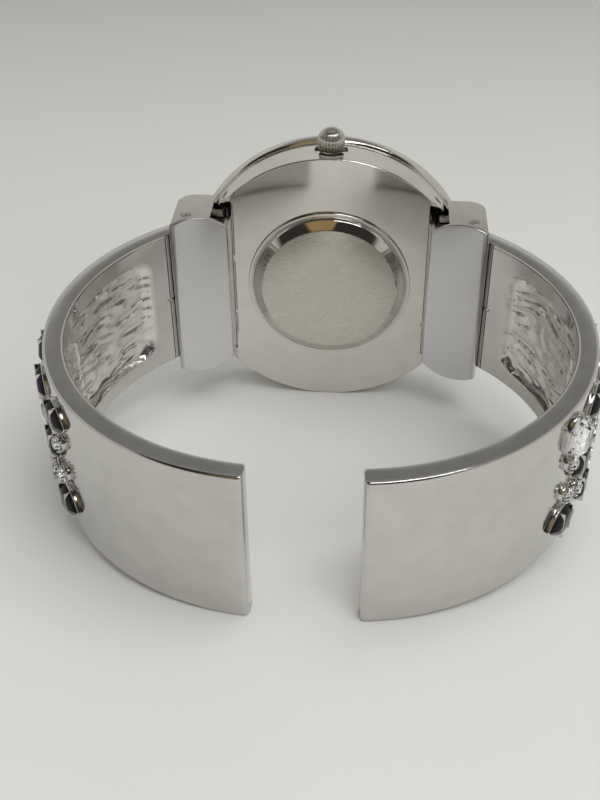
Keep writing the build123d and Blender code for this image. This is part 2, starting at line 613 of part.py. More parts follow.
def build_crown():
    """Fluted, domed crown with its gasket, and the tube that it slides on."""
    crown_floor = crown_start + CROWN_BORE_DEPTH
    skirt_top = crown_start + CROWN_SKIRT
    dome_radius = (CROWN_RADIUS**2 + CROWN_DOME**2) / (2 * CROWN_DOME)
    dome = Pos(0, 0, skirt_top + CROWN_DOME - dome_radius) * Sphere(dome_radius)
    flute_points = []
    for flute in range(CROWN_FLUTES):
        angle = flute * 360 / CROWN_FLUTES
        flute_points.append(polar(CROWN_RADIUS, angle))
        flute_points.append(polar(CROWN_RADIUS - CROWN_FLUTE_DEPTH, angle + 180 / CROWN_FLUTES))
    knurl_top = skirt_top - CROWN_FLUTE_DEPTH
    crown = prism(flute_points, crown_start, knurl_top) + disc(CROWN_RADIUS, knurl_top, skirt_top)
    crown = crown + (dome & disc(CROWN_RADIUS, skirt_top, skirt_top + 2 * CROWN_DOME))
    bore_radius = CROWN_TUBE_RADIUS + RUNNING_FIT
    gasket_bottom = crown_floor - CROWN_GASKET_WIDTH
    crown = crown - disc(bore_radius, crown_start - OVERRUN, crown_floor)
    crown = crown - disc(bore_radius + CROWN_GASKET_WIDTH, gasket_bottom, crown_floor)
    crown = crown - disc(STEM_RADIUS + FIT, crown_start, crown_floor + CROWN_STEM_GRIP + FIT)
    parts["crown"] = stem_line * crown
    parts["crown_gasket"] = stem_line * ring(bore_radius + CROWN_GASKET_WIDTH - FIT, bore_radius,
                                             gasket_bottom + FIT, crown_floor)
    parts["crown_tube"] = stem_line * ring(CROWN_TUBE_RADIUS, CROWN_TUBE_RADIUS - CROWN_TUBE_WALL,
                                           crown_tube_start, crown_floor - RUNNING_FIT)


def arbor(bottom, top, at=(0, 0)):
    """Thin wheel axle."""
    return disc(PIVOT_RADIUS, bottom, top, *at)


def hand(length, tail, level, hub_radius, hole_radius, width, angle):
    """Tapered hand pointing at an angle, with a round hub."""
    shoulder = HAND_SHOULDER_SHARE * length
    blade = prism([
        (-tail, width / 3), (-tail, -width / 3), (0, -width / 2), (shoulder, -width / 3),
        (length, 0), (shoulder, width / 3), (0, width / 2),
    ], level, level + HAND_THICKNESS)
    blade = blade + disc(hub_radius, level, level + HAND_THICKNESS)
    return Rot(0, 0, angle) * (blade - disc(hole_radius, level - OVERRUN, level + OVERRUN))


def build_train():
    """Rotor and reduction wheels between the bridge and the main plate."""
    high = PLATE_BOTTOM + PINION_THICKNESS - TRAIN_FIT
    parts["rotor"] = (
        arbor(BRIDGE_BOTTOM, high, rotor_place)
        + toothed(PINION_TEETH, STEP_MODULE, step_level, step_level + PINION_THICKNESS, rotor_place,
                  ROTOR_ANGLE + 180, gap=True)
        + disc(ROTOR_MAGNET_RADIUS, seconds_level + PINION_THICKNESS, lever_top, *rotor_place)
    )
    parts["step_wheel"] = (
        arbor(BRIDGE_BOTTOM, high, step_place)
        + toothed(STEP_TEETH, STEP_MODULE, step_level, step_level + WHEEL_THICKNESS, step_place, ROTOR_ANGLE)
        + toothed(PINION_TEETH, SECONDS_MODULE, step_level + WHEEL_THICKNESS,
                  seconds_level + PINION_THICKNESS, step_place, STEP_ANGLE + 180, gap=True)
    )
    parts["seconds_wheel"] = (
        arbor(BRIDGE_BOTTOM, second_hand_level + HAND_THICKNESS)
        + toothed(SECONDS_TEETH, SECONDS_MODULE, seconds_level, seconds_level + WHEEL_THICKNESS,
                  facing=STEP_ANGLE)
        + toothed(PINION_TEETH, THIRD_MODULE, seconds_level + WHEEL_THICKNESS,
                  third_level + PINION_THICKNESS, facing=THIRD_ANGLE, gap=True)
    )
    parts["third_wheel"] = (
        arbor(BRIDGE_BOTTOM, high, third_place)
        + toothed(THIRD_TEETH, THIRD_MODULE, third_level, third_level + WHEEL_THICKNESS, third_place,
                  THIRD_ANGLE + 180)
        + toothed(PINION_TEETH, centre_module, third_level + WHEEL_THICKNESS, centre_level + PINION_THICKNESS,
                  third_place, THIRD_ANGLE + 180, gap=True)
    )
    bore = disc(CANNON_RADIUS - CANNON_WALL, centre_level - OVERRUN, second_hand_level)
    parts["centre_wheel"] = (
        disc(CANNON_RADIUS, centre_level, minute_hand_level + HAND_THICKNESS)
        + toothed(CENTRE_TEETH, centre_module, centre_level, centre_level + WHEEL_THICKNESS,
                  facing=THIRD_ANGLE)
        + toothed(CANNON_TEETH, MOTION_MODULE, motion_level, motion_level + PINION_THICKNESS,
                  facing=MINUTE_ANGLE, gap=True)
        - bore
    )


def build_motion_work():
    """Minute wheel and hour wheel under the dial, and the three hands."""
    minute_top = hour_level + WHEEL_THICKNESS
    recess_floor = PLATE_TOP - MOTION_RECESS_DEPTH
    parts["minute_wheel"] = (
        arbor(recess_floor, minute_top, minute_place)
        + toothed(MINUTE_TEETH, MOTION_MODULE, motion_level, motion_level + WHEEL_THICKNESS, minute_place,
                  MINUTE_ANGLE + 180)
        + toothed(MINUTE_PINION_TEETH, hour_module, motion_level + WHEEL_THICKNESS, minute_top,
                  minute_place, MINUTE_ANGLE + 180, gap=True)
    )
    bore = disc(HOUR_TUBE_RADIUS - HOUR_TUBE_WALL, hour_level - OVERRUN, minute_hand_level)
    parts["hour_wheel"] = (
        disc(HOUR_TUBE_RADIUS, hour_level, hour_hand_level + HAND_THICKNESS)
        + toothed(HOUR_TEETH, hour_module, hour_level, minute_top, facing=MINUTE_ANGLE)
        - bore
    )
    parts["hour_hand"] = hand(chapter_radius - HOUR_HAND_MARGIN, HAND_WIDTH, hour_hand_level,
                              HOUR_TUBE_RADIUS + HAND_WIDTH / 2, HOUR_TUBE_RADIUS + FIT,
                              HOUR_HAND_WIDTH, HOUR_HAND_ANGLE)
    parts["minute_hand"] = hand(chapter_radius - MINUTE_HAND_MARGIN, HAND_WIDTH, minute_hand_level,
                                CANNON_RADIUS + HAND_WIDTH / 2, CANNON_RADIUS + FIT,
                                HAND_WIDTH, MINUTE_HAND_ANGLE)
    parts["second_hand"] = hand(chapter_radius - SECOND_HAND_MARGIN, SECOND_TAIL_LENGTH, second_hand_level,
                                HAND_WIDTH / 2, PIVOT_RADIUS + FIT, SECOND_HAND_WIDTH, SECOND_HAND_ANGLE)


# Places in the plan frame of the cuff, given for the right-hand side
arm_inner = ARM_RADIUS - ARM_WALL
arm_middle = ARM_RADIUS - ARM_WALL / 2
arm_half_height = ARM_HEIGHT / 2
pin_place = (base_half_width + HINGE_DISTANCE, -HINGE_DEPTH)
pin_angle = degrees(acos((pin_place[0] - ARM_CENTRE_DISTANCE) / arm_middle))
arm_axis = (ARM_CENTRE_DISTANCE, pin_place[1] - arm_middle * sin(radians(pin_angle)))
mouth_angle = -degrees(acos((MOUTH_WIDTH / 2 - ARM_CENTRE_DISTANCE) / ARM_RADIUS))
pocket_start = pin_angle - degrees(POCKET_DISTANCE / arm_middle)
pocket_end = pocket_start - degrees(POCKET_LENGTH / arm_middle)
seam_start = pin_angle - degrees(SEAM_DISTANCE / arm_middle)
block_case_side = pin_place[0] - BLOCK_CASE_WIDTH
block_outer_side = pin_place[0] + BLOCK_OUTER_WIDTH
tongue_case_side = base_half_width + TONGUE_GAP
case_pin_place = (base_half_width + CASE_PIN_DISTANCE, CASE_PIN_HEIGHT)
cover_place = (pin_place[0] - COVER_SETBACK_DISTANCE, pin_place[1] - COVER_DROP)
cover_run = cos(radians(COVER_ANGLE))
cover_fall = sin(radians(COVER_ANGLE))
cover_plane = Plane(origin=(*cover_place, 0), x_dir=(cover_run, -cover_fall, 0),
                    z_dir=(-cover_fall, -cover_run, 0))


def about_pin(point, angle):
    """Turn a plan point about the hinge pin."""
    run = hypot(point[0] - pin_place[0], point[1] - pin_place[1])
    heading = degrees(atan2(point[1] - pin_place[1], point[0] - pin_place[0]))
    return polar(run, heading + angle, pin_place)


def arm_sector(inner, outer, start, end, half_height):
    """Piece of an upright ring about the arm's axis between two angles."""
    section = Polyline((inner, -half_height), (outer, -half_height), (outer, half_height),
                       (inner, half_height), close=True)
    swept = revolve(Plane.XZ * make_face(section), Axis.Z, start - end)
    return Pos(*arm_axis, 0) * Rot(0, 0, end) * swept


def build_arm():
    """Right cuff arm: curved bar with a hinge knuckle, soft rims, a hollow inside and a seam line."""
    middle_angle = (pin_angle + mouth_angle) / 2
    outer_end = polar(ARM_RADIUS, mouth_angle, arm_axis)
    inner_end = polar(arm_inner, mouth_angle, arm_axis)
    outer_root = polar(ARM_RADIUS, pin_angle, arm_axis)
    inner_root = polar(arm_inner, pin_angle, arm_axis)
    outline = make_face([
        ThreePointArc(outer_end, polar(ARM_RADIUS, middle_angle, arm_axis), outer_root),
        ThreePointArc(outer_root, polar(ARM_WALL / 2, pin_angle + 90, pin_place), inner_root),
        ThreePointArc(inner_root, polar(arm_inner, middle_angle, arm_axis), inner_end),
        Line(inner_end, outer_end),
    ])
    corners = [outline.vertices().sort_by_distance((*end, 0))[0] for end in (outer_end, inner_end)]
    arm = extrude(fillet(corners, ARM_END_ROUND), arm_half_height, both=True)
    rims = [edge for face in arm.faces().filter_by(Axis.Z) for edge in face.edges()]
    arm = chamfer(rims, ARM_EDGE)
    bore_end = arm_half_height + OVERRUN
    bore = disc(HINGE_PIN_RADIUS + HINGE_FIT, -bore_end, bore_end, *pin_place)
    pocket = arm_sector(arm_inner - OVERRUN, arm_inner + POCKET_DEPTH, pocket_start, pocket_end,
                        arm_half_height - POCKET_RIM_WIDTH)
    upright = pocket.edges().filter_by(Axis.Z)
    radial = [edge for edge in pocket.edges().filter_by(GeomType.LINE) if edge not in upright]
    seam_turn = degrees(SEAM_WIDTH / arm_inner)
    seam = arm_sector(arm_inner - OVERRUN, arm_inner + SEAM_WIDTH, seam_start, seam_start - seam_turn,
                      arm_half_height + OVERRUN)
    return arm - bore - fillet(radial, POCKET_CORNER) - seam


def behind_cover(x):
    """Point on the back of the cover plate at a distance from the middle of the watch."""
    return (x, cover_place[1] + COVER_THICKNESS / cover_run - (x - cover_place[0]) * cover_fall / cover_run)


def build_cover():
    """Right cover plate: slanted, with straight sides, arched ends and a flange down to the case."""
    half = COVER_LENGTH / 2
    case_height = block_half_height - COVER_CASE_INSET
    arm_height = block_half_height + COVER_ARM_OVERHANG
    arch = (half / 3, block_half_height + COVER_CROWN_OVERHANG)
    outline = make_face([
        ThreePointArc((-half, case_height), arch, (half, arm_height)),
        Line((half, arm_height), (half, -arm_height)),
        ThreePointArc((half, -arm_height), (arch[0], -arch[1]), (-half, -case_height)),
        Line((-half, -case_height), (-half, case_height)),
    ])
    plate = extrude(outline, -COVER_THICKNESS)
    front = plate.faces().sort_by(Axis.Z)[-1]
    near, depth = behind_cover(cover_place[0] - half * cover_run + COVER_ROUND)
    far = near + COVER_FLANGE_WALL
    inside_plate = depth - COVER_THICKNESS / 2
    flange = prism([
        (near, inside_plate), (far, inside_plate), (far, -COVER_FLANGE_GAP), (near, -COVER_FLANGE_GAP),
    ], -case_height, case_height)
    return cover_plane * chamfer(front.edges(), COVER_ROUND) + flange


# Room behind the hinge pin, and the spring in it
knuckle_room = ARM_WALL / 2 + KNUCKLE_CLEARANCE
spring_left = pin_place[0] - knuckle_room
spring_right = block_outer_side - SPRING_WALL
spring_contact = pin_place[1] + ARM_WALL / 2 + SPRING_CLEARANCE


def build_block():
    """Right hinge block: cheeks round the knuckle, spring pocket, tongue into the case."""
    outline = make_face(Polyline(
        behind_cover(block_case_side), behind_cover(block_outer_side), (block_outer_side, BLOCK_BACK),
        (block_case_side, BLOCK_BACK), close=True))
    corner = outline.vertices().sort_by_distance((block_outer_side, BLOCK_BACK, 0))[0]
    block = extrude(fillet(corner, BLOCK_CORNER), block_half_height, both=True)
    block = block + prism([
        (tongue_case_side, TONGUE_FRONT), (block_case_side + OVERRUN, TONGUE_FRONT),
        (block_case_side + OVERRUN, TONGUE_BACK), (tongue_case_side, TONGUE_BACK),
    ], TONGUE_INSET - block_half_height, block_half_height - TONGUE_INSET)

    cheek = arm_half_height + CHEEK_GAP
    far_angle = pin_angle - degrees(3 * ARM_WALL / arm_middle)
    arm_room = prism([
        polar(knuckle_room, pin_angle + 180, pin_place),
        polar(arm_inner - KNUCKLE_CLEARANCE, far_angle, arm_axis),
        about_pin(polar(ARM_RADIUS + KNUCKLE_CLEARANCE, far_angle, arm_axis), OPENING_ANGLE),
        about_pin(polar(knuckle_room, pin_angle, pin_place), OPENING_ANGLE),
    ], -cheek, cheek)
    spring_half = SPRING_HALF_HEIGHT + SPRING_CLEARANCE
    spring_room = prism([
        (spring_left, pin_place[1]), pin_place, (spring_right, pin_place[1] + knuckle_room),
        (spring_right, SPRING_POCKET_BACK), (spring_left, SPRING_POCKET_BACK),
    ], -spring_half, spring_half)
    bezel_line = Plane(origin=(0, NOTCH_DEPTH - FIT, 0), x_dir=(1, 0, 0), z_dir=(0, 1, 0))
    cheek_end = block_half_height + OVERRUN
    return block - [
        arm_room,
        disc(knuckle_room, -cheek, cheek, *pin_place),
        spring_room,
        disc(HINGE_PIN_RADIUS + FIT, -cheek_end, cheek_end, *pin_place),
        disc(CASE_PIN_RADIUS + FIT, -cheek_end, cheek_end, *case_pin_place),
        bezel_line * disc(BEZEL_RADIUS + BEZEL_CLEARANCE, 0, BLOCK_BACK),
    ]


def build_spring():
    """Right leaf spring: a seat along the back of its pocket and a leg down to the knuckle."""
    seat_front = SPRING_POCKET_BACK - SPRING_THICKNESS
    seat_end = spring_right - SPRING_CLEARANCE
    return prism([
        (spring_left, SPRING_POCKET_BACK),
        (seat_end, SPRING_POCKET_BACK),
        (seat_end, seat_front - SPRING_THICKNESS),
        (pin_place[0] + SPRING_THICKNESS, spring_contact),
        (pin_place[0] - SPRING_THICKNESS, spring_contact),
        (pin_place[0] - SPRING_THICKNESS, spring_contact + SPRING_THICKNESS),
        (seat_end - 2 * SPRING_THICKNESS, seat_front),
        (spring_left, seat_front),
    ], -SPRING_HALF_HEIGHT, SPRING_HALF_HEIGHT)


def on_arm(angle, height):
    """Plane that touches the outside of the right arm, its X axis along the arm towards the hinge."""
    outward = (cos(radians(angle)), sin(radians(angle)), 0)
    return Plane(origin=(*polar(ARM_RADIUS, angle, arm_axis), height), x_dir=(-outward[1], outward[0], 0),
                 z_dir=outward)


def leaf(length, width):
    """Pointed leaf outline."""
    upper = [(length / 2 * along, width / 2 * across) for along, across in LEAF_OUTLINE_SHARES]
    lower = [(x, -y) for x, y in reversed(upper[1:-1])]
    return make_face(Polyline(*upper, *lower, close=True))


def stone_outline(length, width, sides):
    """Outline of a stone seen from above, as a flat-sided oval."""
    turns = [2 * pi * side / sides for side in range(sides)]
    points = [(length / 2 * cos(turn), width / 2 * sin(turn)) for turn in turns]
    return make_face(Polyline(*points, close=True))


def cut_stone(length, width, sides, bottom, top):
    """Faceted stone: an upright girdle, and a crown of facets up to a smaller flat table."""
    outline = stone_outline(length, width, sides)
    girdle = (bottom + top) / 2
    lean = degrees(atan2((1 - STONE_TABLE_SHARE) * min(length, width) / 2, top - girdle))
    return (Pos(0, 0, bottom) * extrude(outline, girdle - bottom)
            + Pos(0, 0, girdle) * extrude(outline, top - girdle, taper=lean))


def build_collet(length, width, sides):
    """Setting that grips a stone, with its outline a wall wider than the stone's."""
    wide = stone_outline(length + 2 * COLLET_WALL, width + 2 * COLLET_WALL, sides)
    collet = Pos(0, 0, -BACKING_THICKNESS) * extrude(wide, BACKING_THICKNESS + COLLET_HEIGHT)
    return collet - Pos(0, 0, BACKING_THICKNESS) * extrude(stone_outline(length, width, sides), COLLET_HEIGHT)


column_turn = degrees(COLUMN_STEP / ARM_RADIUS)
ornament_start = pin_angle - degrees(ORNAMENT_DISTANCE / arm_middle)
ornament_end = ornament_start - LEAF_COLUMNS * column_turn


def leaf_places():
    """Angle and height of each leaf cell: rows along the arm, every second row moved by half a step."""
    places = []
    for row in range(LEAF_ROWS):
        height = (row - (LEAF_ROWS - 1) / 2) * ROW_STEP
        for column in range(LEAF_COLUMNS - row % 2):
            shift = (1 + row % 2) / 2
            places.append((ornament_start - (column + shift) * column_turn, height))
    return places


def stone_places():
    """Angle and height of each round stone, in the gaps between the rows of leaf cells."""
    places = []
    for half_column in range(1, 2 * LEAF_COLUMNS):
        nearness = STONE_SETBACK_SHARE if half_column % 2 else 1 - STONE_SETBACK_SHARE
        for side in (1, -1):
            places.append((ornament_start - half_column * column_turn / 2, side * nearness * ROW_STEP))
    return places


def build_ornament(leaves, ovals):
    """Silver frame with leaf cells and collets, the enamel in the cells, and the round stones."""
    outer_leaf = leaf(LEAF_LENGTH, LEAF_WIDTH)
    inner_leaf = offset(outer_leaf, -CELL_BORDER, kind=Kind.INTERSECTION)
    cell = Pos(0, 0, -BACKING_THICKNESS) * extrude(outer_leaf, BACKING_THICKNESS + RELIEF)
    cell = cell - Pos(0, 0, CELL_FLOOR) * extrude(inner_leaf, RELIEF)
    fill = Pos(0, 0, CELL_FLOOR) * extrude(inner_leaf, RELIEF - ENAMEL_SUNK - CELL_FLOOR)
    round_collet = build_collet(2 * STONE_RADIUS, 2 * STONE_RADIUS, STONE_SIDES)
    oval_collet = build_collet(OVAL_WIDTH, OVAL_LENGTH, OVAL_SIDES)
    stone = cut_stone(2 * STONE_RADIUS, 2 * STONE_RADIUS, STONE_SIDES, BACKING_THICKNESS,
                      BACKING_THICKNESS + STONE_HEIGHT)
    backing = arm_sector(ARM_RADIUS, ARM_RADIUS + BACKING_THICKNESS, ornament_start, ornament_end,
                         LEAF_ROWS * ROW_STEP / 2)
    arm_body = disc(ARM_RADIUS, -ARM_HEIGHT, ARM_HEIGHT, *arm_axis)
    raised = [on_arm(*place) * cell for place in leaves]
    raised += [on_arm(*place) * round_collet for place in stone_places()]
    raised += [on_arm(*place) * oval_collet for place in ovals]
    frame = backing + [piece - arm_body for piece in raised]
    return {
        "ornament_frame": frame,
        "enamel": Compound([on_arm(*place) * fill for place in leaves]),
        "crystals": Compound([on_arm(*place) * stone for place in stone_places()]),
    }


def build_cuff():
    """Both arms with their hinges and ornament, as name and shape in the plan frame."""
    shapes = {}
    hinge = {"arm": build_arm(), "hinge_block": build_block(), "block_cover": build_cover(),
             "hinge_spring": build_spring(),
             "hinge_pin": disc(HINGE_PIN_RADIUS, -block_half_height, block_half_height, *pin_place),
             "case_pin": disc(CASE_PIN_RADIUS, -case_pin_half_length, case_pin_half_length, *case_pin_place)}
    for name, shape in hinge.items():
        shapes["right_" + name] = shape
        shapes["left_" + name] = mirror(shape, Plane.YZ)
    leaves = leaf_places()
    for name, shape in build_ornament(leaves, []).items():
        shapes["left_" + name] = mirror(shape, Plane.YZ)
    for name, shape in build_ornament(leaves[:-1], leaves[-1:]).items():
        shapes["right_" + name] = shape
    oval_height = BACKING_THICKNESS + OVAL_HEIGHT
    oval = cut_stone(OVAL_WIDTH, OVAL_LENGTH, OVAL_SIDES, BACKING_THICKNESS, oval_height)
    shapes["right_oval_crystal"] = on_arm(*leaves[-1]) * oval
    return shapes


# Stand: the watch lies on the nine o'clock side of the case's base and on the lower corners of the arm ends
head_plane = Plane(origin=(0, 0, 0), x_dir=(0, 0, 1), z_dir=(0, 1, 0))
corner_place = (polar(ARM_RADIUS - ARM_EDGE, mouth_angle, arm_axis)[1], -arm_half_height)
base_place = (CASE_EDGE, -case_radius)
stand_tilt = degrees(atan2(corner_place[1] - base_place[1], base_place[0] - corner_place[0]))


def main():
    """Build every piece, stand the watch up and write one file for each piece."""
    parts["case_middle"] = build_case()
    parts["bezel"] = build_bezel()
    build_front()
    build_back()
    build_plates()
    build_power()
    build_keyless_work()
    build_crown()
    build_train()
    build_motion_work()
    tilted = {name: Rot(stand_tilt, 0, 0) * (head_plane * shape) for name, shape in parts.items()}
    for name, shape in build_cuff().items():
        tilted[name] = Rot(stand_tilt, 0, 0) * shape
    boxes = [shape.bounding_box() for shape in tilted.values()]
    low = min(box.min.Z for box in boxes)
    middle_x = (min(box.min.X for box in boxes) + max(box.max.X for box in boxes)) / 2
    middle_y = (min(box.min.Y for box in boxes) + max(box.max.Y for box in boxes)) / 2
    os.makedirs("parts", exist_ok=True)
    for name, shape in tilted.items():
        export_step(Pos(-middle_x, -middle_y, -low) * shape, "parts/" + name + ".step")
    print("tilt", stand_tilt, "moved by", -middle_x, -middle_y, -low)


main()
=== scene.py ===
import bmesh
import bpy
import json
import numpy as np
from math import acos, asin, atan2, copysign, cos, hypot, pi, radians, sin, sqrt
from mathutils import Matrix, Vector, noise


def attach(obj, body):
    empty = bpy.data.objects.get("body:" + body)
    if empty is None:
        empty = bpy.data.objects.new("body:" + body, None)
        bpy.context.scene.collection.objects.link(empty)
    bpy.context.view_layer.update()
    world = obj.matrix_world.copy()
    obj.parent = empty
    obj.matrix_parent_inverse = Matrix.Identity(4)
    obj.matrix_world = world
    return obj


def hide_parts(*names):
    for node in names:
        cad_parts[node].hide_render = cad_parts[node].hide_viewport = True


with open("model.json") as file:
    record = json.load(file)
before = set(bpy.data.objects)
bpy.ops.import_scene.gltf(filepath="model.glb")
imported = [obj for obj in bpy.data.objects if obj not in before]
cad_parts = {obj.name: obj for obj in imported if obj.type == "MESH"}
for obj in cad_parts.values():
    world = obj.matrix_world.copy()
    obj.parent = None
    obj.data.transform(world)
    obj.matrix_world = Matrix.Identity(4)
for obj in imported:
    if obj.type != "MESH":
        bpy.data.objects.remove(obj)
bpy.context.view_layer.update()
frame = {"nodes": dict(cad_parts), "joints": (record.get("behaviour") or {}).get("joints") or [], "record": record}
MM = 0.001

# The plan frame of the cuff: +X to twelve o'clock, +Y out of the dial, +Z to three o'clock along the
# hinge pins, with its origin in the middle of the flat base of the case. Shapes are drawn there in
# millimetres and placed by the frame's own joints.
joints = {joint["name"]: joint for joint in frame["joints"]}
HINGE_DEPTH = 1.73
hinge_axis = Vector(joints["right_arm_open"]["axis"])
dial_axis = -Vector(joints["seconds_turn"]["axis"])
right_pin = Vector(joints["right_arm_open"]["pos_m"])
left_pin = Vector(joints["left_arm_open"]["pos_m"])
along_axis = dial_axis.cross(hinge_axis)
plan_origin = (right_pin + left_pin) / 2 + dial_axis * HINGE_DEPTH * MM
plan_turn = Matrix((along_axis, dial_axis, hinge_axis)).transposed()
PLAN = Matrix.Translation(plan_origin) @ plan_turn.to_4x4() @ Matrix.Scale(MM, 4)

# Camera, as fitted to the photograph: place in the plan frame, turns in degrees, focal length in
# pixels of the 600 by 800 picture
CAMERA_PLACE = (5.888, -131.522, 80.672)
CAMERA_PITCH = -37.363
CAMERA_YAW = 4.361
CAMERA_ROLL = 0.568
FOCAL_PIXELS = 1124.0
PICTURE_HEIGHT = 800
SENSOR = 36.0
CLIP_START = 0.001
CLIP_END = 10.0

# Sizes in millimetres, with an angle in degrees, counts and shares, most of them as on the solids that
# the pieces stand for
ARM_RADIUS = 27.9
ARM_WALL = 2.4
ARM_HALF_HEIGHT = 9.75
ARM_EDGE = 0.4
ARM_END_ROUND = 0.5
MOUTH_WIDTH = 11.8
ARM_CENTRE_DISTANCE = 3.6
POCKET_DISTANCE = 6.55
POCKET_LENGTH = 34.72
POCKET_HALF_HEIGHT = 7.4
POCKET_DEPTH = 0.95
POCKET_CORNER = 2.6
POCKET_SIDE_RUNS = (0.4, 0.8)
POCKET_END_RUN = 1.7
SEAM_DISTANCE = 3.99
SEAM_WIDTH = 0.14
SEAM_DEPTH = 0.16
HINGE_PIN_RADIUS = 0.65
CASE_RADIUS = 18.5
CASE_EDGE = 0.15
CASE_JOINT = 4.3
CASE_RIM_RADIUS = 17.5
CASE_RIM_TOP = 5.83
CASE_DIAL_RADIUS = 16.37
CASE_DIAL_SEAT = 4.4
BASE_HALF_WIDTH = 13.0
BASE_SIDE_ROUND = 0.7
FLANK_RISE_SHARE = 0.62
NOTCH_DEPTH = 3.45
NOTCH_HALF_HEIGHT = 11.02
BEZEL_RADIUS = 19.0
BEZEL_WIDEST = 6.3
BEZEL_TOP = 7.4
BEZEL_FOOT = 0.55
BEZEL_BEVEL_WIDTH = 0.3
BEZEL_BEVEL_HEIGHT = 0.25
BEZEL_FLANK_RADIUS = 6.5
BEZEL_SHOULDER = 1.5
GLASS_HOLE_RADIUS = 16.39
GLASS_SHELF = 6.35
WINDOW_RADIUS = 15.3
FIT_GAP = 0.02
BACK_OPENING_RADIUS = 9.6
BACK_FLANGE_RADIUS = 11.0
BACK_FLANGE_THICKNESS = 0.35
BACK_FACE_RADIUS = 8.95
BACK_HEIGHT = 1.45
BACK_SKIN = 0.85
BACK_SNAP_WALL = 0.6
BACK_SNAP_LENGTH = 1.0
BACK_LIP_WIDTH = 0.42
BACK_LIP_LEAN = 0.04
BACK_LINE_DEPTH = 0.14
BACK_LINE_WIDTH = 0.16
BACK_CREST_WIDTH = 0.1
BACK_CREST_DROP = 0.03
BACK_STEP_WIDTH = 0.2
BACK_STEP_DROP = 0.66
BACK_ROUND = 0.128
STEM_HEIGHT = 3.0
STEM_HOLE_RADIUS = 0.45
TUBE_HOLE_RADIUS = 0.77
TUBE_HOLE_START = 16.2
CROWN_RECESS_RADIUS = 2.15
CROWN_RECESS_DEPTH = 0.45
CROWN_RECESS_EDGE = 0.25
CROWN_START = 18.8
CROWN_RADIUS = 1.78
CROWN_SKIRT = 1.25
CROWN_SKIRT_BAND = 0.3
CROWN_DOME = 1.4
CROWN_BORE_RADIUS = 0.8
CROWN_BORE_DEPTH = 1.05
CROWN_SINK = 0.45
CROWN_FLUTES = 26
CROWN_FLUTE_DEPTH = 0.17
CROWN_RIB_SHARE = 0.7
BLOCK_HALF_HEIGHT = 11.0
CASE_PIN_RADIUS = 0.45
CASE_PIN_PLACE = (14.0, 2.2)
COVER_PLACE = (16.65, -4.35)
COVER_ANGLE = 17.5
COVER_LENGTH = 7.6
COVER_THICKNESS = 0.4
COVER_ROUND = 0.16
COVER_CASE_ROUND = 0.4
COVER_ARM_ROUND = 0.7
COVER_LIP_DEPTHS = (0.36, 0.45, 0.55, 0.65, 0.72)
COVER_LIP_WALL = 0.4
COVER_CASE_HALF_HEIGHT = 10.2
COVER_CROWN_HALF_HEIGHT = 12.0
COVER_ARM_HALF_HEIGHT = 11.3
COVER_FLANGE_WALL = 0.45
COVER_FLANGE_GAP = 0.12
COVER_FLANGE_SETBACK = 0.05
COVER_SLIT = 0.04
COVER_FOOT = 0.06
ORNAMENT_DISTANCE = 11.445
COLUMN_STEP = 6.72
ROW_STEP = 6.0
LEAF_COLUMNS = 5
LEAF_ROWS = 3
LEAF_LENGTH = 6.0
LEAF_WIDTH = 4.0
WALL_TOP = 0.4
RELIEF = 1.15
BACKING_THICKNESS = 0.3
STONE_RADIUS = 0.9
STONE_HEIGHT = 0.8
STONE_SETBACK_SHARE = 0.37
COLLET_WALL = 0.2
COLLET_HEIGHT = 0.7
COLLET_RIM = 0.42
OVAL_WIDTH = 3.6
OVAL_LENGTH = 5.2
OVAL_HEIGHT = 1.5

arm_inner = ARM_RADIUS - ARM_WALL
arm_middle = ARM_RADIUS - ARM_WALL / 2
arm_flat = ARM_HALF_HEIGHT - ARM_EDGE
pin_place = (abs((PLAN.inverted() @ right_pin).x), -HINGE_DEPTH)
pin_angle = acos((pin_place[0] - ARM_CENTRE_DISTANCE) / arm_middle)
arm_axis = (ARM_CENTRE_DISTANCE, pin_place[1] - arm_middle * sin(pin_angle))
mouth_angle = -acos((MOUTH_WIDTH / 2 - ARM_CENTRE_DISTANCE) / ARM_RADIUS)
pocket_start = pin_angle - POCKET_DISTANCE / arm_middle
pocket_middle = pocket_start - POCKET_LENGTH / arm_middle / 2
seam_angle = pin_angle - SEAM_DISTANCE / arm_middle

# The body of each node of the frame
bodies = frame["record"]["behaviour"]["bodies"]
body_of = {node: body for body, nodes in bodies.items() for node in nodes}

# Angles in degrees beyond which an edge shows as sharp
SHARP_ANGLE = 32.0
FINE_SHARP_ANGLE = 18.0
PROFILE_SHARP_ANGLE = 25.0
WIDE_SHARP_ANGLE = 40.0
CROWN_SHARP_ANGLE = 50.0
FACET_SHARP_ANGLE = 5.0

# Counts of points and steps
ROUND_SIDES = 256
RECESS_SIDES = 64
PIN_SIDES = 40
BORE_SIDES = 32
PIN_HOLE_SIDES = 24
NUB_SIDES = 12
SOFT_STEPS = 4

# A corner of an outline moves inwards by no more than the distance divided by this
MITRE_LEAST_SHARE = 0.4


# Mesh helpers

class Shell:
    """Points and faces of a piece as it is put together, in the plan frame."""

    def __init__(self):
        self.points = []
        self.faces = []

    def loft(self, rings, joined=False):
        """Skin over closed rings of equally many points, with flat ends unless the last joins the first."""
        first = len(self.points)
        count = len(rings[0])
        for ring in rings:
            self.points.extend(ring)
        steps = len(rings) if joined else len(rings) - 1
        for step in range(steps):
            near = first + step * count
            far = first + (step + 1) % len(rings) * count
            for side in range(count):
                after = (side + 1) % count
                self.faces.append((near + side, near + after, far + after, far + side))
        if not joined:
            last = first + (len(rings) - 1) * count
            self.faces.append(tuple(range(first, first + count)))
            self.faces.append(tuple(range(last, last + count)))


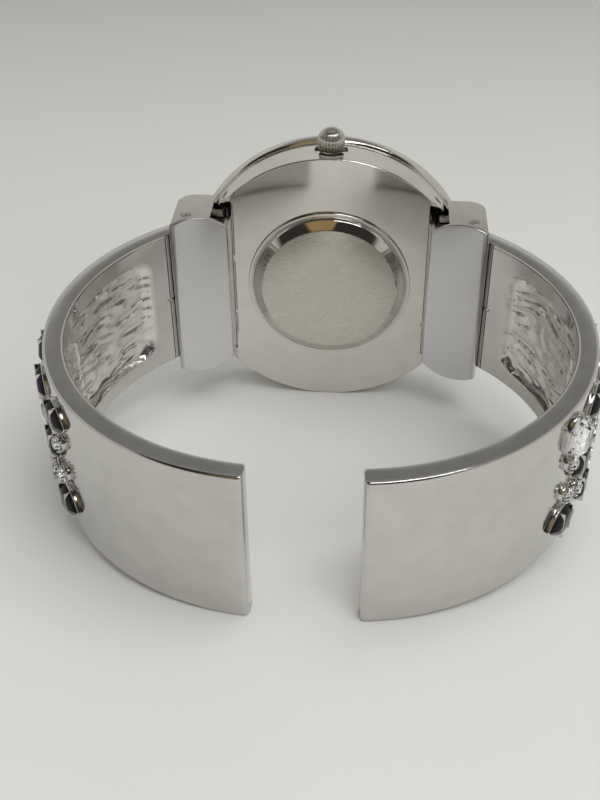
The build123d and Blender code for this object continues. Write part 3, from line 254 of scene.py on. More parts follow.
def to_row(points):
    """Points of the plan frame, in millimetres, as points of the row frame, in metres."""
    return np.asarray(points, float) @ np.array(PLAN.to_3x3()).T + np.array(PLAN.translation)


def shell_mesh(name, shell):
    """Mesh of a shell in the row frame, with its faces turned outwards."""
    mesh = bpy.data.meshes.new(name)
    mesh.from_pydata(to_row(shell.points).tolist(), [], shell.faces)
    work = bmesh.new()
    work.from_mesh(mesh)
    bmesh.ops.recalc_face_normals(work, faces=work.faces)
    work.to_mesh(mesh)
    work.free()
    return mesh


def shade_smooth(mesh, sharp_angle):
    """Smooth shading, but for edges beyond an angle."""
    mesh.polygons.foreach_set("use_smooth", [True] * len(mesh.polygons))
    mesh.set_sharp_from_angle(angle=radians(sharp_angle))


def add_object(name, data):
    """New object in the scene."""
    added = bpy.data.objects.new(name, data)
    bpy.context.scene.collection.objects.link(added)
    return added


def make_piece(name, shell, node, materials, sharp_angle=SHARP_ANGLE):
    """Mesh piece that stands for a node of the frame and rides on its body."""
    mesh = shell_mesh(name, shell)
    for material in materials:
        mesh.materials.append(material)
    shade_smooth(mesh, sharp_angle)
    piece = add_object(name, mesh)
    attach(piece, body_of[node])
    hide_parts(node)
    return piece


def drill(piece, shell):
    """Cuts a closed shell out of a piece."""
    cutter = add_object("cutter", shell_mesh("cutter", shell))
    cut = piece.modifiers.new("cut", "BOOLEAN")
    cut.operation = "DIFFERENCE"
    cut.object = cutter
    bpy.context.view_layer.update()
    graph = bpy.context.evaluated_depsgraph_get()
    result = bpy.data.meshes.new_from_object(piece.evaluated_get(graph))
    piece.modifiers.remove(cut)
    piece.data = result
    bpy.data.objects.remove(cutter)


def round_turns(count):
    """Equally spaced angles of a full turn."""
    return [2 * pi * step / count for step in range(count)]


def between(first, last, steps):
    """Equally spaced values from a first to a last."""
    return [first + (last - first) * step / steps for step in range(steps + 1)]


def arc(centre, radius, turns):
    """Points about a centre at the angles given."""
    return [(centre[0] + radius * cos(turn), centre[1] + radius * sin(turn)) for turn in turns]


def circle(radius, count, place, height=0):
    """Ring of points about the Z axis of a placing matrix."""
    return [place @ Vector((radius * cos(turn), radius * sin(turn), height)) for turn in round_turns(count)]


def softened(profile, radius, closed=True):
    """Profile with each corner rounded off."""
    rounded = []
    count = len(profile)
    for index, corner in enumerate(profile):
        if not closed and index in (0, count - 1):
            rounded.append(corner)
            continue
        here = Vector(corner)
        before = Vector(profile[index - 1]) - here
        after = Vector(profile[(index + 1) % count]) - here
        reach = min(radius, before.length / 2, after.length / 2)
        start = here + before.normalized() * reach
        end = here + after.normalized() * reach
        for step in range(SOFT_STEPS + 1):
            share = step / SOFT_STEPS
            point = start * (1 - share)**2 + here * 2 * share * (1 - share) + end * share**2
            rounded.append(tuple(point))
    return rounded


def turned(shell, profile, count, place, joined=False):
    """Turned shape about the Z axis of a placing matrix from points of radius and height."""
    shell.loft([circle(radius, count, place, height) for radius, height in profile], joined)


def drill_hole(piece, radius, ends, count, place):
    """Round hole in a piece along the Z axis of a placing matrix, between two heights."""
    hole = Shell()
    turned(hole, [(radius, end) for end in ends], count, place)
    drill(piece, hole)


def inset(outline, distance):
    """Closed outline moved inwards by a distance, for one drawn anticlockwise."""
    moved = []
    count = len(outline)
    for index, point in enumerate(outline):
        here = Vector(point)
        before = (here - Vector(outline[index - 1])).normalized()
        after = (Vector(outline[(index + 1) % count]) - here).normalized()
        inward = Vector((-before.y - after.y, before.x + after.x)).normalized()
        lean = max(inward.dot(Vector((-after.y, after.x))), MITRE_LEAST_SHARE)
        moved.append(tuple(here + inward * distance / lean))
    return moved


def smooth_step(value):
    """Soft step from 0 to 1 as the value goes from 0 to 1."""
    held = min(max(value, 0.0), 1.0)
    return held * held * (3 - 2 * held)


# Materials

NOISE_DETAIL = 4.0
NOISE_LOW = 0.3
NOISE_HIGH = 0.7


def new_material(name):
    """Empty node material with its principled shader."""
    material = bpy.data.materials.new(name)
    material.use_nodes = True
    return material, material.node_tree, material.node_tree.nodes["Principled BSDF"]


def textured(tree, scale, stretch):
    """Noise over the object's own coordinates, with its scale per metre."""
    place = tree.nodes.new("ShaderNodeTexCoord")
    mapping = tree.nodes.new("ShaderNodeMapping")
    mapping.inputs["Scale"].default_value = stretch
    mottle = tree.nodes.new("ShaderNodeTexNoise")
    mottle.inputs["Scale"].default_value = scale
    mottle.inputs["Detail"].default_value = NOISE_DETAIL
    tree.links.new(place.outputs["Object"], mapping.inputs["Vector"])
    tree.links.new(mapping.outputs["Vector"], mottle.inputs["Vector"])
    return mottle.outputs["Fac"]


def ranged(tree, value, low, high):
    """The noise value spread over a range."""
    spread = tree.nodes.new("ShaderNodeMapRange")
    spread.inputs["From Min"].default_value = NOISE_LOW
    spread.inputs["From Max"].default_value = NOISE_HIGH
    spread.inputs["To Min"].default_value = low
    spread.inputs["To Max"].default_value = high
    tree.links.new(value, spread.inputs["Value"])
    return spread.outputs["Result"]


def tinted(tree, value, dark, light):
    """Colour between two tones."""
    mix = tree.nodes.new("ShaderNodeMix")
    mix.data_type = "RGBA"
    mix.inputs["A"].default_value = (*dark, 1)
    mix.inputs["B"].default_value = (*light, 1)
    tree.links.new(value, mix.inputs["Factor"])
    return mix.outputs["Result"]


def surface(name, colour, rough, metallic=1.0, scale=900.0, stretch=(1, 1, 1), shade=0.08,
            rough_spread=0.03, bump=0.02, bump_distance=2e-5, edge=0.0, sockets=()):
    """Node material: mottled colour and roughness, fine bump, soft edges, and constants for the shader."""
    material, tree, shader = new_material(name)
    mottle = textured(tree, scale, stretch)
    spread = ranged(tree, mottle, 0.0, 1.0)
    dark = tuple(channel * (1 - shade) for channel in colour)
    tree.links.new(tinted(tree, spread, dark, colour), shader.inputs["Base Color"])
    shader.inputs["Metallic"].default_value = metallic
    shader.inputs["Roughness"].default_value = rough
    if rough_spread:
        roughness = ranged(tree, mottle, max(rough - rough_spread, 0.0), rough + rough_spread)
        tree.links.new(roughness, shader.inputs["Roughness"])
    if bump:
        relief = tree.nodes.new("ShaderNodeBump")
        relief.inputs["Strength"].default_value = bump
        relief.inputs["Distance"].default_value = bump_distance
        tree.links.new(mottle, relief.inputs["Height"])
        tree.links.new(relief.outputs["Normal"], shader.inputs["Normal"])
    if bump and edge:
        soften = tree.nodes.new("ShaderNodeBevel")
        soften.inputs["Radius"].default_value = edge
        tree.links.new(soften.outputs["Normal"], relief.inputs["Normal"])
    for socket, value in sockets:
        shader.inputs[socket].default_value = value
    return material


STEEL = (0.71, 0.685, 0.645)
ARM_STEEL = (0.62, 0.607, 0.585)
SOFT_EDGE = 0.00012
finish = {
    "polished_metal": surface("polished_steel", STEEL, 0.07, scale=350.0, edge=SOFT_EDGE),
    "cast_metal": surface("arm_steel", ARM_STEEL, 0.13, scale=350.0, edge=SOFT_EDGE),
    "brushed_back": surface("brushed_steel", (0.61, 0.58, 0.52), 0.27, scale=600.0, stretch=(1, 14, 14),
                            shade=0.03, rough_spread=0.03, bump=0.02),
    "dial_face": surface("dial_lacquer", (0.82, 0.82, 0.80), 0.35, metallic=0.4, scale=2500.0),
    "hands_metal": surface("hand_steel", (0.70, 0.70, 0.72), 0.15, edge=SOFT_EDGE / 3),
    "brass_train": surface("gilt_brass", (0.80, 0.62, 0.30), 0.25, scale=2000.0),
    "plate_metal": surface("nickel_plate", (0.72, 0.71, 0.66), 0.28, scale=1500.0, stretch=(1, 1, 8)),
    "steel_parts": surface("tool_steel", (0.62, 0.62, 0.62), 0.18, edge=SOFT_EDGE / 2),
    "spring_steel": surface("spring_steel", (0.45, 0.44, 0.42), 0.25),
    "seal_rubber": surface("black_rubber", (0.03, 0.03, 0.03), 0.6, metallic=0.0, bump=0.1),
    "holder_plastic": surface("white_plastic", (0.72, 0.71, 0.66), 0.45, metallic=0.0),
    "coil_copper": surface("wound_copper", (0.75, 0.35, 0.18), 0.3, stretch=(1, 20, 1), bump=0.4),
    "board": surface("green_board", (0.03, 0.16, 0.07), 0.4, metallic=0.0),
    "watch_glass": surface("clear_glass", (0.98, 0.99, 0.99), 0.02, metallic=0.0, shade=0.0,
                           rough_spread=0.01, sockets=(("Transmission Weight", 1.0), ("IOR", 1.52))),
    "black_enamel": surface("black_enamel", (0.012, 0.012, 0.014), 0.14, metallic=0.0, shade=0.4,
                            sockets=(("Specular IOR Level", 0.2),)),
    "crystal_clear": surface("cut_crystal", (0.97, 0.98, 1.0), 0.01, metallic=0.0, shade=0.0,
                             rough_spread=0.0, sockets=(("Transmission Weight", 1.0), ("IOR", 1.62))),
}
lining = surface("cast_lining", (0.79, 0.78, 0.75), 0.2, scale=1500.0, shade=0.12, rough_spread=0.08,
                 bump=0.15, bump_distance=4e-5)
# Painted shade: the crown's steel is darker than the polished steel of the case, standing in for the dark things
# its flutes and dome reflect
crown_shaded_steel = surface("crown_shaded_steel", (0.60, 0.58, 0.53), 0.16, scale=350.0, edge=SOFT_EDGE)
seam_shade = surface("seam_shade", (0.06, 0.058, 0.052), 0.5, metallic=0.2)
satin = surface("satin_cover", (0.665, 0.655, 0.66), 0.27, scale=60.0, shade=0.03, rough_spread=0.0,
                bump=0.0)

for node in frame["nodes"].values():
    for place in node.material_slots:
        place.material = finish[place.material.name]


# Arms

ARM_STEP = 0.2
ARM_OUTER_STEP = ARM_HALF_HEIGHT / 4
CORNER_STEPS = 4
END_STEPS = 6
END_TURN = 88.0
SEAM_SLACK = SEAM_WIDTH / 20
SEAM_STATION_PARTS = (2.2, 1.8)
RIB_ANGLE = 6.5
RIB_WIDTH = 0.13
RIB_REACH_SHARE = 1.5
RIB_STATION_PARTS = (2, 1)
RIB_HALF_HEIGHT = 3.4
RIB_RISE = 0.3
NICK_ANGLE = 5.0
NICK_WIDTH = 0.8
NICK_DEPTH = 0.45
NICK_HEIGHTS = (8.2, 9.3)
NUB_LENGTH = 1.3
NUB_RADIUS = 0.2
NUB_TIP_SHARE = 0.05
NUB_RISE = 0.12
NUB_STEPS = 10

# Wrinkles of the hollow: their lengths along and across the arm, the streaks' slope, and their rise
DRIFT_LENGTHS = (11.0, 7.0)
DRIFT_REACH = 2.2
STREAK_LENGTH = 5.0
STREAKS_ACROSS = 0.95
STREAK_SLOPE = 3.2
STREAK_LEAST = -0.45
STREAK_RISE = 0.17
CRUST_LENGTHS = (1.3, 0.8)
CRUST_RISE = 0.03
CRUST_FAR_RISE = 0.11
CRUST_FAR_START = 4.0
CRUST_FAR_RUN = 14.0
SWELL_LENGTHS = (6.0, 4.5)
SWELL_RISE = 0.14

# Seeds of the wrinkles: one for each arm, and what each kind of wrinkle adds to it
RIGHT_ARM_SEED = 5.0
LEFT_ARM_SEED = 23.0
STREAK_SEED = 3.1
CRUST_SEED = 7.7
SWELL_SEED = 11.3

# Places in the list of an arm's materials
RIM_KIND = 0
LINING_KIND = 1
SEAM_KIND = 2
LINING_START_SHARE = 0.25


def arm_point(side, turn, radius, height):
    """Point about the axis that an arm bends round."""
    return (side * (arm_axis[0] + radius * cos(turn)), arm_axis[1] + radius * sin(turn), height)


def pocket_share(along, height):
    """How deep in the hollow a point of the inside lies, from 0 on the rim to 1 on its floor."""
    past_end = abs(along) - POCKET_LENGTH / 2 + POCKET_CORNER
    past_side = abs(height) - POCKET_HALF_HEIGHT + POCKET_CORNER
    outside = hypot(max(past_end, 0), max(past_side, 0)) + min(max(past_end, past_side), 0) - POCKET_CORNER
    past_start = along + POCKET_END_RUN * 2 - POCKET_LENGTH / 2
    run = POCKET_SIDE_RUNS[height > 0]
    run += (POCKET_END_RUN - run) * smooth_step(past_start / POCKET_END_RUN)
    return smooth_step(-outside / run)


def casting(along, height, seed):
    """Wrinkles that the casting left on the floor of the hollow: streaks along the arm, and a crust."""
    drift = DRIFT_REACH * noise.noise(Vector((along / DRIFT_LENGTHS[0], height / DRIFT_LENGTHS[1], seed)))
    streak_place = Vector((along / STREAK_LENGTH, (height + drift) * STREAKS_ACROSS, seed + STREAK_SEED))
    streak = 1 - abs(noise.noise(streak_place)) * STREAK_SLOPE
    crust = noise.noise(Vector((along / CRUST_LENGTHS[0], height / CRUST_LENGTHS[1], seed + CRUST_SEED)))
    swell = noise.noise(Vector((along / SWELL_LENGTHS[0], height / SWELL_LENGTHS[1], seed + SWELL_SEED)))
    far = smooth_step((CRUST_FAR_START - along) / CRUST_FAR_RUN)
    return (STREAK_RISE * max(streak, STREAK_LEAST) + (CRUST_RISE + CRUST_FAR_RISE * far) * crust
            + SWELL_RISE * swell)


def arm_depth(turn, height, seed):
    """How far the inside of the arm is cut back at an angle and a height."""
    along = (turn - pocket_middle) * arm_middle
    share = pocket_share(along, height)
    depth = 0
    if share > 0:
        rib = smooth_step(RIB_REACH_SHARE - abs(turn - radians(RIB_ANGLE)) * arm_middle / RIB_WIDTH)
        rib *= smooth_step((RIB_HALF_HEIGHT - abs(height)) / RIB_WIDTH)
        depth = share * (POCKET_DEPTH - casting(along, height, seed) * (1 - rib)) - RIB_RISE * rib
    if abs(turn - seam_angle) * arm_inner < SEAM_WIDTH / 2 and abs(height) <= arm_flat:
        depth += SEAM_DEPTH
    in_nick = abs(turn - radians(NICK_ANGLE)) * arm_inner < NICK_WIDTH / 2
    if in_nick and NICK_HEIGHTS[0] < height < NICK_HEIGHTS[1]:
        depth += NICK_DEPTH
    return depth


def arm_heights(step):
    """Heights of the points across a face of the arm, with those of its rounded edges."""
    count = round(2 * arm_flat / step)
    across = [arm_flat * (2 * index / count - 1) for index in range(count + 1)]
    edge = [arm_flat + ARM_EDGE * sin(pi / 2 * turn / CORNER_STEPS) for turn in range(1, CORNER_STEPS + 1)]
    return [-height for height in reversed(edge)] + across + edge


def edge_drop(height):
    """How far a face of the arm falls back at its rounded edge."""
    past = max(abs(height) - ARM_HALF_HEIGHT + ARM_EDGE, 0)
    return ARM_EDGE - sqrt(max(ARM_EDGE**2 - past**2, 0))


def arm_stations():
    """Angles along the arm, each with how far the section shrinks at that end."""
    stations = []
    turns = [radians(END_TURN) * (1 - step / END_STEPS) for step in range(END_STEPS)]
    mouth_end = (ARM_END_ROUND, mouth_angle + ARM_END_ROUND / arm_middle, 1)
    for radius, centre, heading in (mouth_end, (ARM_WALL / 2, pin_angle, -1)):
        stations += [(centre - heading * radius * sin(turn) / arm_middle, radius * (1 - cos(turn)))
                     for turn in turns]
    run = (pin_angle - mouth_angle) * arm_middle - ARM_END_ROUND
    count = round(run / ARM_STEP)
    stations += [(pin_angle - run * index / count / arm_middle, 0) for index in range(count + 1)]
    for side in (1, -1):
        stations += [(seam_angle + side * SEAM_WIDTH / part / arm_inner, 0) for part in SEAM_STATION_PARTS]
        stations += [(radians(RIB_ANGLE) + side * RIB_WIDTH / part / arm_middle, 0)
                     for part in RIB_STATION_PARTS]
    return sorted(stations)


def add_nub(shell, side):
    """Small round-ended peg that crosses the seam at mid height."""
    middle = arm_inner + NUB_RADIUS - NUB_RISE
    rings = []
    for step in range(NUB_STEPS + 1):
        share = 2 * step / NUB_STEPS - 1
        turn = seam_angle + share * NUB_LENGTH / 2 / arm_inner
        thick = NUB_RADIUS * max(1 - share**4, NUB_TIP_SHARE)
        rings.append([arm_point(side, turn, middle + thick * cos(spin), thick * sin(spin))
                      for spin in round_turns(NUB_SIDES)])
    shell.loft(rings)


def make_arm(side, name, seed):
    """Cast cuff arm with rounded rims, a wrinkled hollow, a rib in it and the seam by the hinge."""
    shell = Shell()
    inner_heights = arm_heights(ARM_STEP)
    outer_heights = list(reversed(arm_heights(ARM_OUTER_STEP)))
    rings = []
    kinds = []
    for turn, shrink in arm_stations():
        along = (turn - pocket_middle) * arm_middle
        in_seam = -SEAM_WIDTH / 2 < (turn - seam_angle) * arm_inner + SEAM_SLACK < SEAM_WIDTH / 2
        ring = []
        for height in inner_heights:
            radius = arm_inner + edge_drop(height) + shrink + arm_depth(turn, height, seed)
            ring.append(arm_point(side, turn, radius, height))
            if in_seam and abs(height) < arm_flat:
                kinds.append(SEAM_KIND)
            elif pocket_share(along, height) > LINING_START_SHARE:
                kinds.append(LINING_KIND)
            else:
                kinds.append(RIM_KIND)
        for height in outer_heights:
            ring.append(arm_point(side, turn, ARM_RADIUS - edge_drop(height) - shrink, height))
            kinds.append(RIM_KIND)
        rings.append(ring)
    shell.loft(rings)
    kinds = kinds[:len(rings[0]) * (len(rings) - 1)]
    add_nub(shell, side)
    kinds += [RIM_KIND] * (len(shell.faces) - len(kinds))
    materials = [finish["cast_metal"], lining, seam_shade]
    piece = make_piece(name, shell, name.replace("cast_", ""), materials, WIDE_SHARP_ANGLE)
    piece.data.polygons.foreach_set("material_index", kinds)
    reach = 2 * ARM_HALF_HEIGHT
    place = Matrix.Translation((side * pin_place[0], pin_place[1], 0))
    drill_hole(piece, HINGE_PIN_RADIUS, (-reach, reach), BORE_SIDES, place)


# Watch head

FINE_ROUND = 0.08
BASE_ROUND_STEPS = 6
EDGE_NEARNESS = 0.01
CUTTER_MARGIN = 1
BEZEL_FLANK_STEPS = 5
BEZEL_SHOULDER_STEPS = 12
DIAL = Matrix(((0, 1, 0, 0), (0, 0, 1, 0), (1, 0, 0, 0), (0, 0, 0, 1)))
STEM = Matrix.Translation((0, STEM_HEIGHT, 0)) @ DIAL @ Matrix.Rotation(pi / 2, 4, "Y")

# Foot of the crown: how far each point lies in and up, and how deep the flutes are there
CROWN_FOOT = ((0.3, 0, 0), (0.12, 0.08, 1), (0, 0.25, 1))
CROWN_FLUTE_POINTS = 6
CROWN_DOME_STEPS = 12
CROWN_TIP_STEP_SHARE = 0.3


def prism(outline, low, high):
    """Upright closed shell over an outline in the plan, between two heights along the hinge pins."""
    shell = Shell()
    shell.loft([[(x, y, height) for x, y in outline] for height in (low, high)])
    return shell


def on_base_side(point):
    """Whether a point of the plan frame lies on a long side of the flat base."""
    return abs(abs(point.x) - BASE_HALF_WIDTH) < EDGE_NEARNESS and abs(point.y) < EDGE_NEARNESS


def round_edges(piece, chosen, radius, steps):
    """Rounds the edges of a piece whose ends, in the plan frame, are both chosen."""
    back = PLAN.inverted()
    work = bmesh.new()
    work.from_mesh(piece.data)
    edges = [edge for edge in work.edges if all(chosen(back @ corner.co) for corner in edge.verts)]
    bmesh.ops.bevel(work, geom=edges, offset=radius * MM, segments=steps, affect="EDGES", profile=0.5,
                    clamp_overlap=True)
    work.to_mesh(piece.data)
    work.free()
    shade_smooth(piece.data, FINE_SHARP_ANGLE)


def make_case():
    """Case middle: turned body with flanks, notches for the hinge blocks, and holes."""
    shell = Shell()
    turned(shell, [
        (BACK_OPENING_RADIUS, 0),
        (CASE_RADIUS - CASE_EDGE, 0),
        (CASE_RADIUS - CASE_EDGE / 3, CASE_EDGE / 3),
        (CASE_RADIUS, CASE_EDGE),
        (CASE_RADIUS, CASE_JOINT),
        (CASE_RIM_RADIUS, CASE_JOINT),
        (CASE_RIM_RADIUS, CASE_RIM_TOP),
        (CASE_DIAL_RADIUS, CASE_RIM_TOP),
        (CASE_DIAL_RADIUS, CASE_DIAL_SEAT),
        (BACK_OPENING_RADIUS, CASE_DIAL_SEAT),
    ], ROUND_SIDES, DIAL, joined=True)
    piece = make_piece("turned_case", shell, "case_middle", [finish["polished_metal"]])
    reach = 2 * CASE_RADIUS
    rise = FLANK_RISE_SHARE * (reach - BASE_HALF_WIDTH)
    for side in (1, -1):
        near = side * BASE_HALF_WIDTH
        far = side * reach
        flank = [(near, 0), (near, -CUTTER_MARGIN), (far, -CUTTER_MARGIN), (far, rise)]
        notch = [(near, -CUTTER_MARGIN), (far, -CUTTER_MARGIN), (far, NOTCH_DEPTH), (near, NOTCH_DEPTH)]
        place = Matrix.Translation((side * CASE_PIN_PLACE[0], CASE_PIN_PLACE[1], 0))
        drill(piece, prism(flank, -reach, reach))
        drill(piece, prism(notch, -NOTCH_HALF_HEIGHT, NOTCH_HALF_HEIGHT))
        drill_hole(piece, CASE_PIN_RADIUS, (-reach, reach), PIN_HOLE_SIDES, place)
    drill_hole(piece, STEM_HOLE_RADIUS, (0, reach), BORE_SIDES, STEM)
    drill_hole(piece, TUBE_HOLE_RADIUS, (TUBE_HOLE_START, reach), BORE_SIDES, STEM)
    recess = Shell()
    top = CASE_JOINT - CROWN_RECESS_EDGE - STEM_HEIGHT
    bottom = CASE_RADIUS - CROWN_RECESS_DEPTH
    points = [point for point in circle(CROWN_RECESS_RADIUS, RECESS_SIDES, Matrix.Identity(4))
              if point.x > -top]
    recess.loft([[STEM @ Vector((point.x, point.y, height)) for point in points]
                 for height in (bottom, reach)])
    drill(piece, recess)
    round_edges(piece, on_base_side, BASE_SIDE_ROUND, BASE_ROUND_STEPS)


def make_bezel():
    """Bezel: bevelled foot, bowed flank, rounded shoulder and the lip round the glass."""
    flank_centre = (BEZEL_RADIUS - BEZEL_FLANK_RADIUS, BEZEL_WIDEST)
    foot = CASE_JOINT + BEZEL_FOOT
    first = asin((foot + BEZEL_BEVEL_HEIGHT - BEZEL_WIDEST) / BEZEL_FLANK_RADIUS)
    height = BEZEL_TOP - BEZEL_SHOULDER
    reach = sqrt((BEZEL_FLANK_RADIUS - BEZEL_SHOULDER)**2 - (height - BEZEL_WIDEST)**2)
    last = atan2(height - BEZEL_WIDEST, reach)
    shoulder_centre = (flank_centre[0] + reach, height)
    flank = arc(flank_centre, BEZEL_FLANK_RADIUS, between(first, last, BEZEL_FLANK_STEPS))[:-1]
    shoulder = arc(shoulder_centre, BEZEL_SHOULDER, between(last, pi / 2, BEZEL_SHOULDER_STEPS))
    bevel = [(CASE_RADIUS, foot - FINE_ROUND), (CASE_RADIUS, foot),
             (flank[0][0] - BEZEL_BEVEL_WIDTH, foot), flank[0], flank[1]]
    bore = CASE_RIM_RADIUS + FIT_GAP
    seat = CASE_RIM_TOP + FIT_GAP
    profile = [(CASE_RADIUS - 2 * FINE_ROUND, CASE_JOINT), (CASE_RADIUS, CASE_JOINT)]
    profile += softened(bevel, FINE_ROUND, closed=False) + flank[2:] + shoulder
    profile += [(GLASS_HOLE_RADIUS + FINE_ROUND, BEZEL_TOP), (GLASS_HOLE_RADIUS, BEZEL_TOP - FINE_ROUND),
                (GLASS_HOLE_RADIUS, GLASS_SHELF), (WINDOW_RADIUS, GLASS_SHELF), (WINDOW_RADIUS, seat),
                (bore, seat), (bore, CASE_JOINT)]
    shell = Shell()
    turned(shell, profile, ROUND_SIDES, DIAL, joined=True)
    make_piece("turned_bezel", shell, "bezel", [finish["polished_metal"]], PROFILE_SHARP_ANGLE)


def make_back():
    """Snap-on back: rounded lip, fine line, polished slope and a flat brushed face."""
    lip = BACK_FLANGE_RADIUS - BACK_LIP_WIDTH
    line = lip - BACK_LINE_WIDTH
    snap = BACK_OPENING_RADIUS - FIT_GAP
    outer = softened([
        (BACK_FACE_RADIUS, -BACK_HEIGHT),
        (BACK_FACE_RADIUS + BACK_CREST_WIDTH, -BACK_HEIGHT + BACK_CREST_DROP),
        (line - BACK_STEP_WIDTH, -BACK_STEP_DROP),
        (line, -BACK_FLANGE_THICKNESS + BACK_LINE_DEPTH),
        (lip, -BACK_FLANGE_THICKNESS + BACK_LINE_DEPTH),
        (lip + BACK_LIP_LEAN, -BACK_FLANGE_THICKNESS),
        (BACK_FLANGE_RADIUS, -BACK_FLANGE_THICKNESS),
        (BACK_FLANGE_RADIUS, 0),
    ], BACK_ROUND, closed=False)
    profile = [(BACK_FACE_RADIUS / 2, -BACK_HEIGHT)] + outer + [
        (snap, 0), (snap, BACK_SNAP_LENGTH), (snap - BACK_SNAP_WALL, BACK_SNAP_LENGTH),
        (snap - BACK_SNAP_WALL, BACK_SKIN - BACK_HEIGHT), (BACK_FACE_RADIUS / 2, BACK_SKIN - BACK_HEIGHT)]
    shell = Shell()
    turned(shell, profile, ROUND_SIDES, DIAL)
    materials = [finish["polished_metal"], finish["brushed_back"]]
    piece = make_piece("turned_back", shell, "case_back", materials, PROFILE_SHARP_ANGLE)
    back = PLAN.inverted()
    face = -BACK_HEIGHT + FINE_ROUND / 4
    kinds = [int((back @ polygon.center).y < face) for polygon in piece.data.polygons]
    piece.data.polygons.foreach_set("material_index", kinds)


def make_crown():
    """Fluted crown with a domed end and the bore for its tube."""
    foot = CROWN_START - CROWN_SINK
    skirt = CROWN_START + CROWN_SKIRT
    profile = [(CROWN_BORE_RADIUS, CROWN_START + CROWN_BORE_DEPTH, 0), (CROWN_BORE_RADIUS, foot, 0)]
    profile += [(CROWN_RADIUS - fall, foot + rise, rib) for fall, rise, rib in CROWN_FOOT]
    profile += [(CROWN_RADIUS, skirt - CROWN_SKIRT_BAND, 1), (CROWN_RADIUS, skirt, 1)]
    dome_radius = (CROWN_RADIUS**2 + CROWN_DOME**2) / (2 * CROWN_DOME)
    lean = asin(CROWN_RADIUS / dome_radius)
    if CROWN_DOME > dome_radius:
        lean = pi - lean
    for step in range(1, CROWN_DOME_STEPS + 1):
        turn = lean * (1 - step / (CROWN_DOME_STEPS + CROWN_TIP_STEP_SHARE))
        rib = 1 - smooth_step(step / CROWN_DOME_STEPS / CROWN_RIB_SHARE)
        height = skirt + CROWN_DOME - dome_radius * (1 - cos(turn))
        profile.append((dome_radius * sin(turn), height, rib))
    rings = []
    for radius, height, rib in profile:
        ring = []
        for turn in round_turns(CROWN_FLUTES * CROWN_FLUTE_POINTS):
            wave = (0.5 - 0.5 * cos(turn * CROWN_FLUTES)) ** 2
            reach = radius - rib * CROWN_FLUTE_DEPTH * wave
            ring.append(STEM @ Vector((reach * cos(turn), reach * sin(turn), height)))
        rings.append(ring)
    shell = Shell()
    shell.loft(rings)
    make_piece("fluted_crown", shell, "crown", [crown_shaded_steel], CROWN_SHARP_ANGLE)


# Hinges

COVER_STEPS = 7
COVER_ARCH_STEPS = 20
COVER_CROWN_PARTS = 3

# End of a hinge pin: how far each point of its rim lies in and down, then its centre mark
PIN_RIM = ((0, 0.15), (0.05, 0.04), (0.15, 0))
PIN_MARK_PARTS = (2, 2.6)
PIN_MARK_DEPTH = 0.2
PIN_MARK_TIP = (0.05, 0.24)
PIN_PROUD = 0.04
PIN_CLEARANCE = 0.05


def cover_arch():
    """Arched end of a cover, through three points, from the arm side to the case side."""
    half = COVER_LENGTH / 2
    start = Vector((half, COVER_ARM_HALF_HEIGHT))
    crown = Vector((half / COVER_CROWN_PARTS, COVER_CROWN_HALF_HEIGHT))
    end = Vector((-half, COVER_CASE_HALF_HEIGHT))
    first = start - crown
    second = end - crown
    cross = 2 * (first.x * second.y - first.y * second.x)
    across = second.y * first.length_squared - first.y * second.length_squared
    along = first.x * second.length_squared - second.x * first.length_squared
    centre = crown + Vector((across, along)) / cross
    turns = [atan2(*reversed(point - centre)) for point in (start, end)]
    return arc(centre, (start - centre).length, between(*turns, COVER_ARCH_STEPS))


def fallen(depth, radius):
    """How far a rounded edge has fallen back at a depth below the face."""
    return radius - sqrt(max(radius**2 - max(radius - depth, 0)**2, 0))


def make_cover(side, name):
    """Slanted cover plate with arched ends, rounded edges and a flange down to the case."""
    arch = cover_arch()
    outline = arch + [(x, -y) for x, y in reversed(arch)]
    run = cos(radians(COVER_ANGLE))
    fall = sin(radians(COVER_ANGLE))
    place = Matrix(((side * run, 0, -side * fall, side * COVER_PLACE[0]), (-fall, 0, -run, COVER_PLACE[1]),
                    (0, 1, 0, 0), (0, 0, 0, 1)))
    half = COVER_LENGTH / 2
    levels = [COVER_THICKNESS * (1 - cos(pi / 2 * step / COVER_STEPS)) for step in range(COVER_STEPS + 1)]
    rings = []
    for depth in reversed(levels):
        arch_drop = fallen(depth, COVER_ROUND)
        end_drops = (fallen(depth, COVER_CASE_ROUND), fallen(depth, COVER_ARM_ROUND))
        rings.append([place @ Vector((x - end_drops[x > 0] * x / half, y - copysign(arch_drop, y), -depth))
                      for x, y in outline])
    shell = Shell()
    shell.loft(rings)
    lip = [(half - fallen(depth, COVER_ARM_ROUND), -depth) for depth in COVER_LIP_DEPTHS]
    lip += [(half - COVER_LIP_WALL, -depth) for depth in (COVER_LIP_DEPTHS[-1], COVER_LIP_DEPTHS[0])]
    width = COVER_ARM_HALF_HEIGHT - COVER_ROUND
    shell.loft([[place @ Vector((x, end * width, depth)) for x, depth in lip] for end in (-1, 1)])
    near = COVER_PLACE[0] - COVER_LENGTH / 2 * run + COVER_THICKNESS / 2
    far = near + COVER_FLANGE_WALL
    top = COVER_PLACE[1] + COVER_THICKNESS / 2 + (COVER_PLACE[0] - near) * fall / run
    foot = BASE_HALF_WIDTH + COVER_SLIT
    flange = [(near, top), (far, top), (far, -COVER_FLANGE_GAP), (foot, COVER_FOOT),
              (foot, -COVER_FLANGE_GAP)]
    reach = COVER_CASE_HALF_HEIGHT - COVER_FLANGE_SETBACK
    shell.loft([[(side * x, y, height) for x, y in flange] for height in (-reach, reach)])
    make_piece(name, shell, name.replace("bent_", ""), [satin], WIDE_SHARP_ANGLE)


